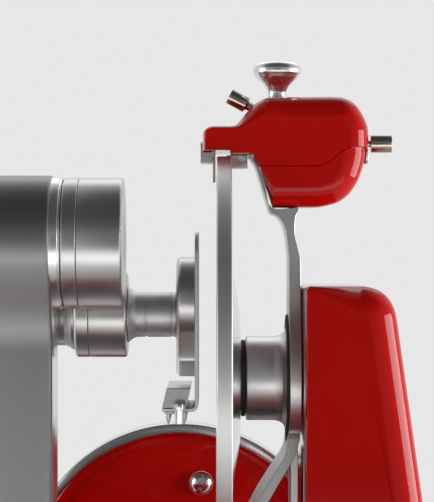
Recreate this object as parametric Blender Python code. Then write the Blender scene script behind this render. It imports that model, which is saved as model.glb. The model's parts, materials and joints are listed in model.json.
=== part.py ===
"""Hand cranked flywheel meat slicer, modelled piece by piece in metres with +Z up.

The working frame has its zero on the knife's axis, in the middle of the guard ring. X runs along the
knife's axis towards the upright housing, and Y runs along the carriage rails towards the flywheel.
The last step moves the whole machine so that the origin is the middle of its footprint.
"""

import math

import bmesh
import bpy
from mathutils import Matrix, Vector

# Fits shared by every piece
GAP = 0.0003
RUNNING_GAP = 0.0006
OVERRUN = 0.003
MERGE = 0.00001

# Facets
LARGE_STEPS = 40
WIDE_STEPS = 28
ROUND_STEPS = 20
SMALL_STEPS = 12
TINY_STEPS = 8
CORNER_STEPS = 3
SMOOTH_ANGLE = math.radians(32)

# Knife and its shaft
KNIFE_RADIUS = 0.1595
KNIFE_THICKNESS = 0.003
KNIFE_DISH = 0.0155
KNIFE_EDGE_X = -0.0059
KNIFE_FLAT_RADIUS = 0.050
KNIFE_BEVEL_WIDTH = 0.0115
KNIFE_LAND = 0.0003
SHAFT_RADIUS = 0.011
SHAFT_END_X = 0.104
KNIFE_COVER_RADIUS = 0.048
KNIFE_COVER_DEPTH = 0.0068
KNIFE_FLANGE_RADIUS = 0.025
KNIFE_FLANGE_WIDTH = 0.007

# Hub that carries the knife shaft
HUB_RADIUS = 0.033
HUB_LENGTH = 0.0351
HUB_FLARE_RADIUS = 0.0398
HUB_FLARE_LENGTH = 0.0073
HUB_CHAMFER = 0.0035
HUB_BORE_RADIUS = 0.0223
HUB_RUNNING_GAP = 0.0006
BEARING_WIDTH = 0.0085
BEARING_RELIEF = 0.003
GASKET_RADIUS = 0.050
GASKET_THICKNESS = 0.0013

# Guard ring, a C that leaves the cutting side of the knife open
RING_RADIUS = 0.1756
RING_WALL = 0.0144
RING_WIDTH = 0.0114
RING_CHAMFER = 0.0012
RING_FROM = math.radians(99)
RING_SWEEP = math.radians(201)
RING_STEPS = 34
RING_FOOT_LENGTH = 0.060
RING_FOOT_HEIGHT = 0.011

# Support arm between the hub and the upright housing
ARM_THICKNESS = 0.0078
ARM_LENGTH = 0.052
ARM_HEIGHT = 0.3549
ARM_BORE_RADIUS = 0.013
ARM_BOSS_RADIUS = 0.054
ARM_FOOT_HALF_WIDTH = 0.052
ARM_STAY_LENGTH = 0.006
ARM_STAY_WIDTH = 0.050
ARM_STAY_NEAR_SHARE = 0.2
ARM_LEFT_SHARES = (
    (0.240, 1.0), (0.350, 0.9766), (0.546, 0.8839), (0.577, 0.874), (0.663, 0.8684),
    (0.744, 0.8543), (0.804, 0.8304), (0.838, 0.7909), (0.85, 0.7571), (0.85, 0.4303),
    (0.792, 0.35), (0.66, 0.3178), (0.579, 0.2984), (0.346, 0.2415), (0.115, 0.1654),
    (0.0, 0.0809), (0.0, 0.0),
)
ARM_RIGHT_SHARES = (
    (0.846, 0.0), (0.846, 0.0301), (0.231, 0.0301), (0.183, 0.0809), (0.279, 0.1598),
    (0.49, 0.2344), (0.725, 0.2984), (0.835, 0.3204), (0.962, 0.35), (1.0, 0.4134),
    (1.0, 0.7684), (0.958, 0.8078), (0.938, 0.8416), (0.954, 0.8698), (0.981, 0.885),
    (0.594, 0.885), (0.396, 0.9766), (0.288, 1.0),
)
ARM_PAD_SHARE = 0.885
ARM_WIDTH_SHARES = ((0.46, 1.01), (0.58, 0.90), (0.50, 0.79), (0.65, 0.68))
ARM_LOWER_WIDTH_SHARES = ((0.73, 0.335), (0.81, 0.17), (1.0, 0.03), (1.0, -0.01))
ARM_BOSS_FROM = math.radians(50)

# Base casting, bottom plate and feet
BASE_LENGTH = 0.503
BASE_DEPTH = 0.470
BASE_RIGHT_X = 0.178
BASE_TOP_Z = -0.181
BASE_HEIGHT = 0.175
BASE_WALL = 0.006
BASE_CORNER = 0.045
BASE_SKIRT_HEIGHT = 0.018
BASE_STEP_HEIGHT = 0.0108
BASE_WAIST_INSET = 0.010
BASE_TOP_INSET = 0.022
BASE_TOP_ROUND = 0.019
BASE_ROUND_SHARES = ((0.60, 0.25), (0.90, 0.60), (1.0, 1.0))
PLATE_THICKNESS = 0.003
PLATE_INSET = 0.004
FOOT_HEIGHT = 0.0204
FOOT_RADIUS = 0.022
FOOT_INSET = 0.055

# Upright housing over the drive
HOUSING_STANDOFF = 0.0021
HOUSING_TOP_Z = 0.0735
HOUSING_TOP_LENGTH = 0.0674
HOUSING_FOOT_LENGTH = 0.1034
HOUSING_DEPTH = 0.160
HOUSING_WALL = 0.005
HOUSING_NEAR_CORNER = 0.004
HOUSING_FAR_CORNER = 0.027
HOUSING_EDGE = 0.014

# Flywheel
FLYWHEEL_X = -0.040
FLYWHEEL_Z = -0.2115
FLYWHEEL_RADIUS = 0.1482
FLYWHEEL_RIM_WALL = 0.0090
FLYWHEEL_WIDTH = 0.034
FLYWHEEL_STANDOFF = 0.093
FLYWHEEL_DISC_THICKNESS = 0.010
FLYWHEEL_STEP_RADIUS = 0.1215
FLYWHEEL_STEP_DEPTH = 0.001
FLYWHEEL_LIP_LENGTH = 0.007
FLYWHEEL_HUB_RADIUS = 0.028
FLYWHEEL_HUB_NEAR_LENGTH = 0.062
FLYWHEEL_HUB_FAR_LENGTH = 0.022
FLYWHEEL_SHAFT_RADIUS = 0.012
HUB_CAP_RADIUS = 0.024
HUB_CAP_HEIGHT = 0.011
CRANK_RADIUS = 0.0936
CRANK_ANGLE = math.radians(78)
CRANK_PIN_RADIUS = 0.007
DOME_NUT_RADIUS = 0.0114
DOME_NUT_HEIGHT = 0.011
GRIP_LENGTH = 0.104
GRIP_RADIUS = 0.016
GRIP_RUNNING_GAP = 0.001
PIN_HEAD_RADIUS = 0.010
PIN_HEAD_LENGTH = 0.004
BUSH_SPIGOT_RADIUS = 0.0195
BUSH_FLANGE_RADIUS = 0.030
BUSH_FLANGE_LENGTH = 0.008
BUSH_NOSE_RADIUS = 0.022
BUSH_NOSE_LENGTH = 0.029
BUSH_SPIGOT_LENGTH = 0.020

# Mitre gears and chain drive inside the base
GEAR_TEETH = 14
GEAR_PITCH_RADIUS = 0.022
GEAR_FACE_SHARE = 0.36
GEAR_ADDENDUM = 0.0024
GEAR_DEDENDUM = 0.0036
GEAR_BACK_LENGTH = 0.009
TOOTH_TIP_SHARE = 0.20
TOOTH_ROOT_SHARE = 0.50
CROSS_SHAFT_RADIUS = 0.010
PINION_BORE_RADIUS = 0.0092
CROSS_SHAFT_LEFT = 0.014
BLOCK_WIDTH = 0.013
BLOCK_HALF_DEPTH = 0.022
BLOCK_DROP = 0.024
BLOCK_LEFT_X = 0.002
BLOCK_RIGHT_X = 0.052
BRACKET_THICKNESS = 0.003
CHAIN_WHEEL_X = 0.084
CHAIN_WHEEL_WIDTH = 0.008
WHEEL_WEB_SHARE = 0.25
LOWER_WHEEL_RADIUS = 0.048
UPPER_WHEEL_RADIUS = 0.016
CHAIN_GAP = 0.0006
CHAIN_THICKNESS = 0.004
CHAIN_WIDTH = 0.006
WELL_MARGIN = 0.006

# Carriage, its rails and the meat table
RAIL_RADIUS = 0.007
RAIL_Z = -0.166
RAIL_LEFT_INSET = 0.030
RAIL_RIGHT_INSET = 0.048
RAIL_LUG_WIDTH = 0.012
RAIL_LUG_TOP = 0.011
RAIL_LUG_OVERHANG = 0.017
RAIL_END_INSET = 0.025
SLIDE_BOSS_RADIUS = 0.0115
SLIDE_BOSS_HEIGHT = 0.0125
SLIDE_BOSS_LENGTH = 0.190
FRAME_RIGHT_X = -0.022
FRAME_LENGTH = 0.278
FRAME_DEPTH = 0.200
FRAME_HEIGHT = 0.0294
FRAME_WALL = 0.008
TABLE_TOP_Z = -0.120
TABLE_THICKNESS = 0.006
TABLE_LEFT_OVERHANG = 0.004
TABLE_RIGHT_OVERHANG = 0.008
TABLE_DEPTH = 0.260
TABLE_CORNER = 0.015
SLOT_WIDTH = 0.020
SLOT_MARGIN = 0.003
FEED_END_GAP = 0.0066
SCREW_RADIUS = 0.006
SCREW_Z = -0.139
SCREW_Y = -0.020
GUIDE_RADIUS = 0.005
GUIDE_Y = 0.040
SCREW_OVERHANG = 0.018
HANDWHEEL_RADIUS = 0.030
HANDWHEEL_WIDTH = 0.010
HANDWHEEL_KNOB_RADIUS = 0.007
HANDWHEEL_KNOB_LENGTH = 0.026
SADDLE_LENGTH = 0.050
SADDLE_DEPTH = 0.145
SADDLE_HEIGHT = 0.022
SADDLE_WEB_LENGTH = 0.040
SADDLE_FRONT_Y = -0.085

# Meat press
COLUMN_RIGHT_X = -0.1274
COLUMN_THICKNESS = 0.046
COLUMN_Y = -0.070
COLUMN_HALF_WIDTH = 0.0285
COLUMN_HEAD_RADIUS = 0.051
COLUMN_HEAD_SPREAD = math.radians(20)
COLUMN_SHOULDER_DROP = 0.061
COLUMN_EDGE = 0.004
COLUMN_FACE_RADIUS = 0.0495
LIFT_AXIS_Z = 0.1058
SPACER_LENGTH = 0.0064
LINK_CAP_LENGTH = 0.0118
LINK_DRUM_RADIUS = 0.0492
LINK_DRUM_LENGTH = 0.0309
LINK_WALL = 0.0056
LINK_ROUND = 0.0016
PIVOT_RADIUS = 0.012
PIVOT_HEAD_RADIUS = 0.022
PIVOT_HEAD_LENGTH = 0.005
TILT_AXIS_Z = 0.0501
SPINDLE_SLEEVE_RADIUS = 0.0335
SPINDLE_SLEEVE_LENGTH = 0.0293
SPINDLE_SLEEVE_RIGHT_X = -0.0757
SPINDLE_CAP_LENGTH = 0.011
SPINDLE_BORE_RADIUS = 0.0142
LINK_WEB_LEFT_X = -0.103
LINK_WEB_LENGTH = 0.020
LINK_WEB_DRUM_HALF = 0.026
LINK_WEB_SLEEVE_HALF = 0.022

# Gripper
GRIPPER_SHAFT_RADIUS = 0.0177
GRIPPER_COLLAR_RADIUS = 0.0219
GRIPPER_COLLAR_LENGTH = 0.0075
GRIPPER_STUB_RADIUS = 0.008
GRIPPER_STUB_LENGTH = 0.024
LOCK_KNOB_RADIUS = 0.0244
LOCK_KNOB_FLARE_RADIUS = 0.0276
LOCK_KNOB_LENGTH = 0.048
BOSS_LEFT_X = -0.0372
BOSS_THICKNESS = 0.0143
BOSS_RADIUS = 0.0346
BOSS_ROUND_DROP = math.radians(35)
BOSS_CENTRE_Z = 0.0607
BOSS_POST_HALF_WIDTH = 0.017
BOSS_POST_BOTTOM_Z = 0.0024
BOSS_EDGE = 0.0045
GRIPPER_PLATE_THICKNESS = 0.0027
GRIPPER_PLATE_WIDTH = 0.090
GRIPPER_PLATE_TOP_Z = 0.1148
GRIPPER_PLATE_CORNER = 0.018
GRIPPER_BEND = 0.0052
GRIPPER_LEG_Z = -0.0232
GRIPPER_LEG_LEFT_X = -0.0476
CLAW_HEIGHT = 0.0152
CLAW_TOP_LENGTH = 0.0185
CLAW_SLANT = 0.0036
SPIKE_LENGTH = 0.0085
SPIKE_RADIUS = 0.0019
SPIKE_ROWS = 5
SPIKE_STRIP_THICKNESS = 0.0015
SPIKE_STRIP_LENGTH = 0.018
STOP_PIN_RADIUS = 0.0039
STOP_PIN_HEAD_RADIUS = 0.0046
STOP_PIN_LENGTH = 0.0168
STOP_PIN_X = -0.0340

# Gauge plate that sets the slice
GAUGE_THICKNESS = 0.003
GAUGE_CUT_GAP = 0.005
GAUGE_ARC_STEPS = 14
GAUGE_TOP_Z = 0.060
GAUGE_BOTTOM_Z = -0.118
GAUGE_FAR_LENGTH = 0.095
GAUGE_FACE_X = -0.0062
GAUGE_STEM_INSET = 0.045
GAUGE_STEM_HALF_WIDTH = 0.015
GAUGE_BLOCK_LENGTH = 0.046
GAUGE_BLOCK_HEIGHT = 0.016
GAUGE_GUIDE_HEIGHT = 0.0045
GAUGE_SCREW_RADIUS = 0.005
GAUGE_TRAVEL = 0.012
GAUGE_SCREW_SPARE = 0.002
GAUGE_STAND_INSET = 0.058
GAUGE_STAND_LENGTH = 0.015
KNOB_RADIUS = 0.022
KNOB_LENGTH = 0.022

# Slice tray
TRAY_LEFT_X = 0.014
TRAY_LENGTH = 0.140
TRAY_NEAR_Y = 0.088
TRAY_FAR_GAP = 0.007
TRAY_HEIGHT = 0.024
TRAY_THICKNESS = 0.002

# Sharpener
COVER_LEFT_X = -0.0167
COVER_LENGTH = 0.1291
COVER_DROP = 0.0085
COVER_HEIGHT = 0.0543
COVER_DEPTH = 0.072
COVER_EDGE = 0.009
COVER_SHARES = (
    (0.0, 0.519), (0.012, 0.555), (0.045, 0.58), (0.177, 0.58), (0.204, 0.604), (0.250, 0.735),
    (0.297, 0.862), (0.340, 0.935), (0.380, 0.985), (0.424, 1.0), (0.811, 1.0), (0.875, 0.965),
    (0.922, 0.89), (0.968, 0.733), (0.992, 0.60), (1.0, 0.49), (1.0, 0.276), (0.886, 0.276),
    (0.83, 0.186), (0.775, 0.076), (0.699, 0.0), (0.345, 0.0), (0.297, 0.177), (0.165, 0.177),
    (0.165, 0.219), (0.0, 0.219),
)
LOWER_LEFT_X = 0.0279
LOWER_LENGTH = 0.0822
LOWER_DROP = 0.0405
LOWER_HEIGHT = 0.0317
LOWER_DEPTH = 0.068
LOWER_EDGE = 0.007
LOWER_SHARES = (
    (0.0, 1.0), (0.554, 1.0), (0.669, 1.126), (0.758, 1.315), (0.847, 1.467), (1.0, 1.467),
    (0.994, 1.24), (0.978, 1.028), (0.950, 0.80), (0.921, 0.625), (0.865, 0.395), (0.802, 0.233),
    (0.735, 0.125), (0.661, 0.063), (0.575, 0.015), (0.49, 0.0), (0.118, 0.0),
)
MUSHROOM_X = 0.0418
MUSHROOM_RADIUS = 0.0191
MUSHROOM_HEIGHT = 0.0277
MUSHROOM_NECK_RADIUS = 0.0062
MUSHROOM_STUD_RADIUS = 0.004
MUSHROOM_STUD_LENGTH = 0.015
MUSHROOM_SHARES = (
    (0.0, 0.40), (0.12, 0.335), (0.36, 0.36), (0.50, 0.55), (0.57, 0.90), (0.65, 1.0),
    (0.78, 1.0), (0.90, 0.80), (0.98, 0.42),
)
RIGHT_KNOB_RISE = 0.0187
RIGHT_KNOB_RADIUS = 0.0071
RIGHT_KNOB_LENGTH = 0.0166
RIGHT_ROD_RADIUS = 0.0026
RIGHT_ROD_LENGTH = 0.030
KNOB_STANDOFF = 0.0029
TAB_THICKNESS = 0.0022
TAB_HEIGHT = 0.0119
TAB_RISE = 0.0147
TAB_DEPTH = 0.030
LEFT_KNOB_X = 0.0196
LEFT_KNOB_RISE = 0.0482
LEFT_KNOB_TILT = math.radians(28.3)
LEFT_KNOB_RADIUS = 0.0063
LEFT_KNOB_LENGTH = 0.0152
LEFT_KNOB_STANDOFF = 0.0022
LEFT_ROD_RADIUS = 0.0035
LEFT_ROD_LENGTH = 0.012
LEFT_COLLAR_RADIUS = 0.0048
LEFT_COLLAR_LENGTH = 0.003
PLUNGER_DEPTH_SPARE = 0.006
HONING_HOLDER_LEFT_X = -0.0186
HONING_HOLDER_LENGTH = 0.0096
HONING_HOLDER_RISE = 0.0031
HONING_HOLDER_LIP = 0.0015
HONING_HOLDER_LIP_HEIGHT = 0.016
HOLDER_DEPTH = 0.030
HONING_STONE_RADIUS = 0.0195
STONE_CLEARANCE = 0.0008
HONING_STONE_THICKNESS = 0.0020
GRINDING_STONE_RADIUS = 0.0085
GRINDING_STONE_THICKNESS = 0.0028
GRINDING_STONE_X = -0.0018
GRINDING_STONE_DROP = 0.0137
GRINDING_HOLDER_RIGHT_X = 0.0185
GRINDING_HOLDER_LENGTH = 0.0134
GRINDING_HOLDER_HEIGHT = 0.0102
GRINDING_ARM_LENGTH = 0.0032
GRINDING_ARM_DROP = 0.0212
GRINDING_POCKET_LENGTH = 0.0075
GRINDING_POCKET_HEIGHT = 0.0055
STONE_PIN_RADIUS = 0.002

# Colours, roughness and metallic value of each finish
FINISHES = {
    "red_enamel": ((0.42, 0.012, 0.012, 1.0), 0.12, 0.0),
    "polished_steel": ((0.72, 0.72, 0.72, 1.0), 0.12, 1.0),
    "brushed_steel": ((0.50, 0.50, 0.50, 1.0), 0.34, 1.0),
    "cast_aluminium": ((0.60, 0.60, 0.60, 1.0), 0.40, 1.0),
    "dark_steel": ((0.09, 0.09, 0.09, 1.0), 0.45, 1.0),
    "bronze": ((0.50, 0.34, 0.16, 1.0), 0.35, 1.0),
    "black_rubber": ((0.02, 0.02, 0.02, 1.0), 0.75, 0.0),
    "black_grip": ((0.015, 0.015, 0.015, 1.0), 0.25, 0.0),
    "grinding_stone": ((0.55, 0.52, 0.50, 1.0), 0.90, 0.0),
}

# Places worked out from the sizes above
RING_LEFT_X = -RING_WIDTH / 2
KNIFE_FACE_X = KNIFE_EDGE_X + KNIFE_DISH
KNIFE_BACK_X = KNIFE_FACE_X + KNIFE_THICKNESS
HUB_START_X = KNIFE_BACK_X + HUB_RUNNING_GAP
HUB_END_X = HUB_START_X + HUB_LENGTH
ARM_LEFT_X = HUB_END_X + GAP + GASKET_THICKNESS + GAP
ARM_RIGHT_X = ARM_LEFT_X + ARM_THICKNESS
ARM_FOOT_X = ARM_RIGHT_X - ARM_LENGTH
HOUSING_LEFT_X = ARM_RIGHT_X + HOUSING_STANDOFF
BASE_BOTTOM_Z = BASE_TOP_Z - BASE_HEIGHT
ARM_BOTTOM_Z = BASE_TOP_Z + GAP
ARM_TOP_Z = ARM_BOTTOM_Z + ARM_HEIGHT
BASE_LEFT_X = BASE_RIGHT_X - BASE_LENGTH
BASE_WAIST_Y = BASE_DEPTH / 2 - BASE_WAIST_INSET
DRIVE_Z = FLYWHEEL_Z
FLYWHEEL_NEAR_Y = BASE_WAIST_Y + FLYWHEEL_STANDOFF
DISC_NEAR_Y = FLYWHEEL_NEAR_Y + (FLYWHEEL_WIDTH - FLYWHEEL_DISC_THICKNESS) / 2
DISC_FAR_Y = DISC_NEAR_Y + FLYWHEEL_DISC_THICKNESS
CRANK_X = FLYWHEEL_X + CRANK_RADIUS * math.cos(CRANK_ANGLE)
CRANK_Z = FLYWHEEL_Z + CRANK_RADIUS * math.sin(CRANK_ANGLE)
RAIL_LENGTH = BASE_DEPTH - 2 * RAIL_END_INSET
FRAME_LEFT_X = FRAME_RIGHT_X - FRAME_LENGTH
RAIL_LEFT_X = FRAME_LEFT_X + RAIL_LEFT_INSET
RAIL_SPAN = FRAME_LENGTH - RAIL_LEFT_INSET - RAIL_RIGHT_INSET
FRAME_TOP_Z = TABLE_TOP_Z - TABLE_THICKNESS - GAP
SADDLE_X = COLUMN_RIGHT_X - COLUMN_THICKNESS / 2
FEED_TRAVEL = SADDLE_X - SADDLE_LENGTH / 2 - FRAME_LEFT_X - FRAME_WALL - FEED_END_GAP
LINK_CAP_LEFT_X = COLUMN_RIGHT_X + SPACER_LENGTH + GAP
LINK_LEFT_X = LINK_CAP_LEFT_X + LINK_CAP_LENGTH + GAP
LINK_RIGHT_X = LINK_LEFT_X + LINK_DRUM_LENGTH
SLEEVE_LEFT_X = SPINDLE_SLEEVE_RIGHT_X - SPINDLE_SLEEVE_LENGTH
SPINDLE_CAP_LEFT_X = SLEEVE_LEFT_X - GAP - SPINDLE_CAP_LENGTH
PLATE_LEFT_X = BOSS_LEFT_X + BOSS_THICKNESS + GAP
PLATE_RIGHT_X = PLATE_LEFT_X + GRIPPER_PLATE_THICKNESS
COVER_BOTTOM_Z = ARM_TOP_Z - COVER_DROP
COVER_TOP_Z = COVER_BOTTOM_Z + COVER_HEIGHT
LOWER_BOTTOM_Z = ARM_TOP_Z - LOWER_DROP
RIGHT_KNOB_Z = COVER_BOTTOM_Z + RIGHT_KNOB_RISE
TAB_TOP_Z = COVER_BOTTOM_Z + TAB_RISE
LEFT_KNOB_PLACE = (LEFT_KNOB_X, 0, COVER_BOTTOM_Z + LEFT_KNOB_RISE)
HONING_HOLDER_BOTTOM_Z = COVER_BOTTOM_Z + HONING_HOLDER_RISE
HONING_STONE_X = HONING_HOLDER_LEFT_X + HONING_HOLDER_LENGTH + GAP
HONING_Z = HONING_HOLDER_BOTTOM_Z + 2 * STONE_PIN_RADIUS
GRINDING_STONE_Z = COVER_BOTTOM_Z - GRINDING_STONE_DROP
GRINDING_ARM_BOTTOM_Z = COVER_BOTTOM_Z - GRINDING_ARM_DROP
COVER_RIGHT_X = COVER_LEFT_X + COVER_LENGTH
NOSE_BOTTOM_Z = COVER_BOTTOM_Z + COVER_HEIGHT * COVER_SHARES[-1][1]
GRINDING_HOLDER_TOP_Z = COVER_BOTTOM_Z + COVER_HEIGHT * COVER_SHARES[-3][1] - GAP
GAUGE_STEM_Y = BASE_DEPTH / 2 - GAUGE_STEM_INSET
GAUGE_FAR_Y = GAUGE_STEM_Y + GAUGE_FAR_LENGTH
GAUGE_CUT_RADIUS = KNIFE_RADIUS + GAUGE_CUT_GAP
GAUGE_STAND_X = BASE_RIGHT_X - GAUGE_STAND_INSET
TRAY_DEPTH = GAUGE_STEM_Y - GAUGE_STEM_HALF_WIDTH - TRAY_FAR_GAP - TRAY_NEAR_Y
GAUGE_BLOCK_BOTTOM_Z = BASE_TOP_Z + GAUGE_GUIDE_HEIGHT + GAP
GAUGE_SCREW_Z = GAUGE_BLOCK_BOTTOM_Z + GAUGE_BLOCK_HEIGHT / 2
GAUGE_BORE_X = GAUGE_FACE_X + 2 * GAUGE_THICKNESS

AXES = {"X": Vector((1, 0, 0)), "Y": Vector((0, 1, 0)), "Z": Vector((0, 0, 1))}


def clear_scene():
    for thing in list(bpy.data.objects):
        bpy.data.objects.remove(thing)


def finish_material(finish):
    """The material of one finish, made once."""
    material = bpy.data.materials.get(finish)
    if material is None:
        colour, roughness, metallic = FINISHES[finish]
        material = bpy.data.materials.new(finish)
        material.use_nodes = True
        shader = material.node_tree.nodes["Principled BSDF"]
        shader.inputs["Base Color"].default_value = colour
        shader.inputs["Roughness"].default_value = roughness
        shader.inputs["Metallic"].default_value = metallic
    return material


def group(name, place, parent):
    """An empty on a joint's axis; the pieces that move with the joint hang from it."""
    empty = bpy.data.objects.new(name, None)
    bpy.context.scene.collection.objects.link(empty)
    empty.parent = parent["empty"] if parent else None
    start = Vector(parent["place"]) if parent else Vector((0, 0, 0))
    empty.location = Vector(place) - start
    return {"empty": empty, "place": place}


def made(name, builder):
    """The bmesh as an object in the working frame, with its faces pointing out."""
    bmesh.ops.remove_doubles(builder, verts=builder.verts, dist=MERGE)
    bmesh.ops.recalc_face_normals(builder, faces=builder.faces)
    mesh = bpy.data.meshes.new(name)
    builder.to_mesh(mesh)
    builder.free()
    thing = bpy.data.objects.new(name, mesh)
    bpy.context.scene.collection.objects.link(thing)
    return thing


def keep(thing, body, finish):
    """Hangs a finished piece from its body's empty and gives it its finish."""
    thing.data.transform(Matrix.Translation(-Vector(body["place"])))
    thing.parent = body["empty"]
    thing.data.shade_smooth()
    thing.data.set_sharp_from_angle(angle=SMOOTH_ANGLE)
    thing.data.materials.clear()
    thing.data.materials.append(finish_material(finish))
    return thing


def spun(builder, outline, closed, steps):
    """Turns an outline of (along, radius) pairs about the builder's Z axis."""
    points = [builder.verts.new((radius, 0, along)) for along, radius in outline]
    pairs = list(zip(points, points[1:]))
    if closed:
        pairs.append((points[-1], points[0]))
    edges = [builder.edges.new(pair) for pair in pairs]
    bmesh.ops.spin(builder, geom=points + edges, cent=(0, 0, 0), axis=(0, 0, 1), dvec=(0, 0, 0),
                   angle=math.tau, steps=steps, use_merge=True, use_duplicate=False)


def turned(name, outline, direction, place, steps=ROUND_STEPS, closed=False):
    """A turned piece; a closed outline leaves a bore, an open one starts and ends on the axis."""
    builder = bmesh.new()
    spun(builder, outline, closed, steps)
    turn = AXES["Z"].rotation_difference(Vector(direction)).to_matrix().to_4x4()
    matrix = Matrix.Translation(Vector(place)) @ turn
    bmesh.ops.transform(builder, matrix=matrix, verts=builder.verts)
    return made(name, builder)


def rod(name, start, end, radius, direction, place, steps=SMALL_STEPS):
    return turned(name, ((start, 0), (start, radius), (end, radius), (end, 0)), direction, place, steps)


def tube(name, start, end, outer, inner, direction, place, steps=ROUND_STEPS):
    outline = ((start, inner), (start, outer), (end, outer), (end, inner))
    return turned(name, outline, direction, place, steps, closed=True)


def in_space(axis, first, second, along):
    """A flat outline's point as a place; the outline is in the other two axes, in X, Y, Z order."""
    if axis == "X":
        return (along, first, second)
    if axis == "Y":
        return (first, along, second)
    return (first, second, along)


def prism(name, outline, axis, start, end):
    """A flat outline pushed along one axis."""
    builder = bmesh.new()
    corners = [builder.verts.new(in_space(axis, *point, start)) for point in outline]
    face = builder.faces.new(corners)
    grown = bmesh.ops.extrude_face_region(builder, geom=[face])
    moved = [part for part in grown["geom"] if isinstance(part, bmesh.types.BMVert)]
    bmesh.ops.translate(builder, verts=moved, vec=AXES[axis] * (end - start))
    return made(name, builder)


def lofted(name, levels):
    """Outlines of equal count stacked along Z, as (height, outline) pairs."""
    builder = bmesh.new()
    rings = []
    for height, outline in levels:
        points = [builder.verts.new((x, y, height)) for x, y in outline]
        rings.append([builder.edges.new(pair) for pair in zip(points, points[1:] + points[:1])])
        if height in (levels[0][0], levels[-1][0]):
            builder.faces.new(points)
    for lower, upper in zip(rings, rings[1:]):
        bmesh.ops.bridge_loops(builder, edges=lower + upper)
    return made(name, builder)


def rectangle(left, right, near, far):
    return [(left, near), (right, near), (right, far), (left, far)]


def arc(centre, radius, start, end, steps):
    """Points on an arc of the first axis towards the second, both ends included."""
    angles = [start + (end - start) * step / steps for step in range(steps + 1)]
    return [(centre[0] + radius * math.cos(a), centre[1] + radius * math.sin(a)) for a in angles]


def rounded(corners, radii, steps=CORNER_STEPS):
    """The outline with an arc at each corner, of one radius or of one per corner."""
    if not isinstance(radii, (list, tuple)):
        radii = [radii] * len(corners)
    outline = []
    for index, corner in enumerate(corners):
        here = Vector(corner)
        before = (Vector(corners[index - 1]) - here).normalized()
        after = (Vector(corners[(index + 1) % len(corners)]) - here).normalized()
        radius = radii[index]
        if radius == 0:
            outline.append(tuple(here))
            continue
        half = before.angle(after) / 2
        centre = here + (before + after).normalized() * radius / math.sin(half)
        first = here + before * radius / math.tan(half) - centre
        last = here + after * radius / math.tan(half) - centre
        swing = first.angle_signed(last)
        for step in range(steps + 1):
            outline.append(tuple(centre + Matrix.Rotation(-swing * step / steps, 2) @ first))
    return outline


def scaled_outline(shares, left, length, bottom, height):
    return [(left + length * across, bottom + height * up) for across, up in shares]


def softened(thing, width, steps, wanted=None):
    """Rounds the sharp edges of a piece, or those that a test picks."""
    builder = bmesh.new()
    builder.from_mesh(thing.data)
    sharp = [edge for edge in builder.edges if edge.calc_face_angle(0) > SMOOTH_ANGLE]
    picked = [edge for edge in sharp if wanted is None or wanted(edge)]
    bmesh.ops.bevel(builder, geom=picked, offset=width, segments=steps, profile=0.5,
                    affect="EDGES", material=-1, clamp_overlap=True)
    builder.to_mesh(thing.data)
    builder.free()
    return thing


def combined(thing, tools, operation):
    """The piece with other pieces cut from it, joined to it or used to trim it."""
    for tool in tools:
        change = thing.modifiers.new(operation.lower(), "BOOLEAN")
        change.operation = operation
        change.solver = "EXACT"
        change.object = tool
    graph = bpy.context.evaluated_depsgraph_get()
    mesh = bpy.data.meshes.new_from_object(thing.evaluated_get(graph))
    thing.modifiers.clear()
    thing.data = mesh
    for tool in tools:
        bpy.data.objects.remove(tool)
    return thing


def cut(thing, *tools):
    return combined(thing, tools, "DIFFERENCE")


def joined(thing, *tools):
    return combined(thing, tools, "UNION")


def trimmed(thing, *tools):
    return combined(thing, tools, "INTERSECT")


def mirrored_outline(half):
    """An outline from its right half, listed top to bottom."""
    return list(half) + [(-across, up) for across, up in reversed(half)]


# Knife and hub


def make_knife(body):
    lean = KNIFE_DISH / (KNIFE_RADIUS - KNIFE_BEVEL_WIDTH - KNIFE_FLAT_RADIUS)
    bevel_radius = KNIFE_RADIUS - KNIFE_BEVEL_WIDTH
    bore = SHAFT_RADIUS + GAP
    rim_back_x = KNIFE_BACK_X - lean * (bevel_radius - KNIFE_FLAT_RADIUS)
    outline = (
        (KNIFE_BACK_X, bore),
        (KNIFE_BACK_X, KNIFE_FLAT_RADIUS),
        (rim_back_x, bevel_radius),
        (KNIFE_EDGE_X + KNIFE_LAND, KNIFE_RADIUS),
        (KNIFE_EDGE_X, KNIFE_RADIUS),
        (KNIFE_EDGE_X, bevel_radius),
        (KNIFE_FACE_X, KNIFE_FLAT_RADIUS),
        (KNIFE_FACE_X, bore),
    )
    keep(turned("knife", outline, AXES["X"], (0, 0, 0), LARGE_STEPS, closed=True), body, "polished_steel")


def make_knife_cover(body):
    back_x = KNIFE_FACE_X - GAP
    outline = (
        (back_x, 0),
        (back_x, KNIFE_COVER_RADIUS),
        (back_x - KNIFE_COVER_DEPTH * 0.30, KNIFE_COVER_RADIUS),
        (back_x - KNIFE_COVER_DEPTH * 0.75, KNIFE_COVER_RADIUS * 0.80),
        (back_x - KNIFE_COVER_DEPTH, KNIFE_COVER_RADIUS * 0.45),
        (back_x - KNIFE_COVER_DEPTH, 0),
    )
    keep(turned("knife_cover", outline, AXES["X"], (0, 0, 0)), body, "polished_steel")


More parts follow.
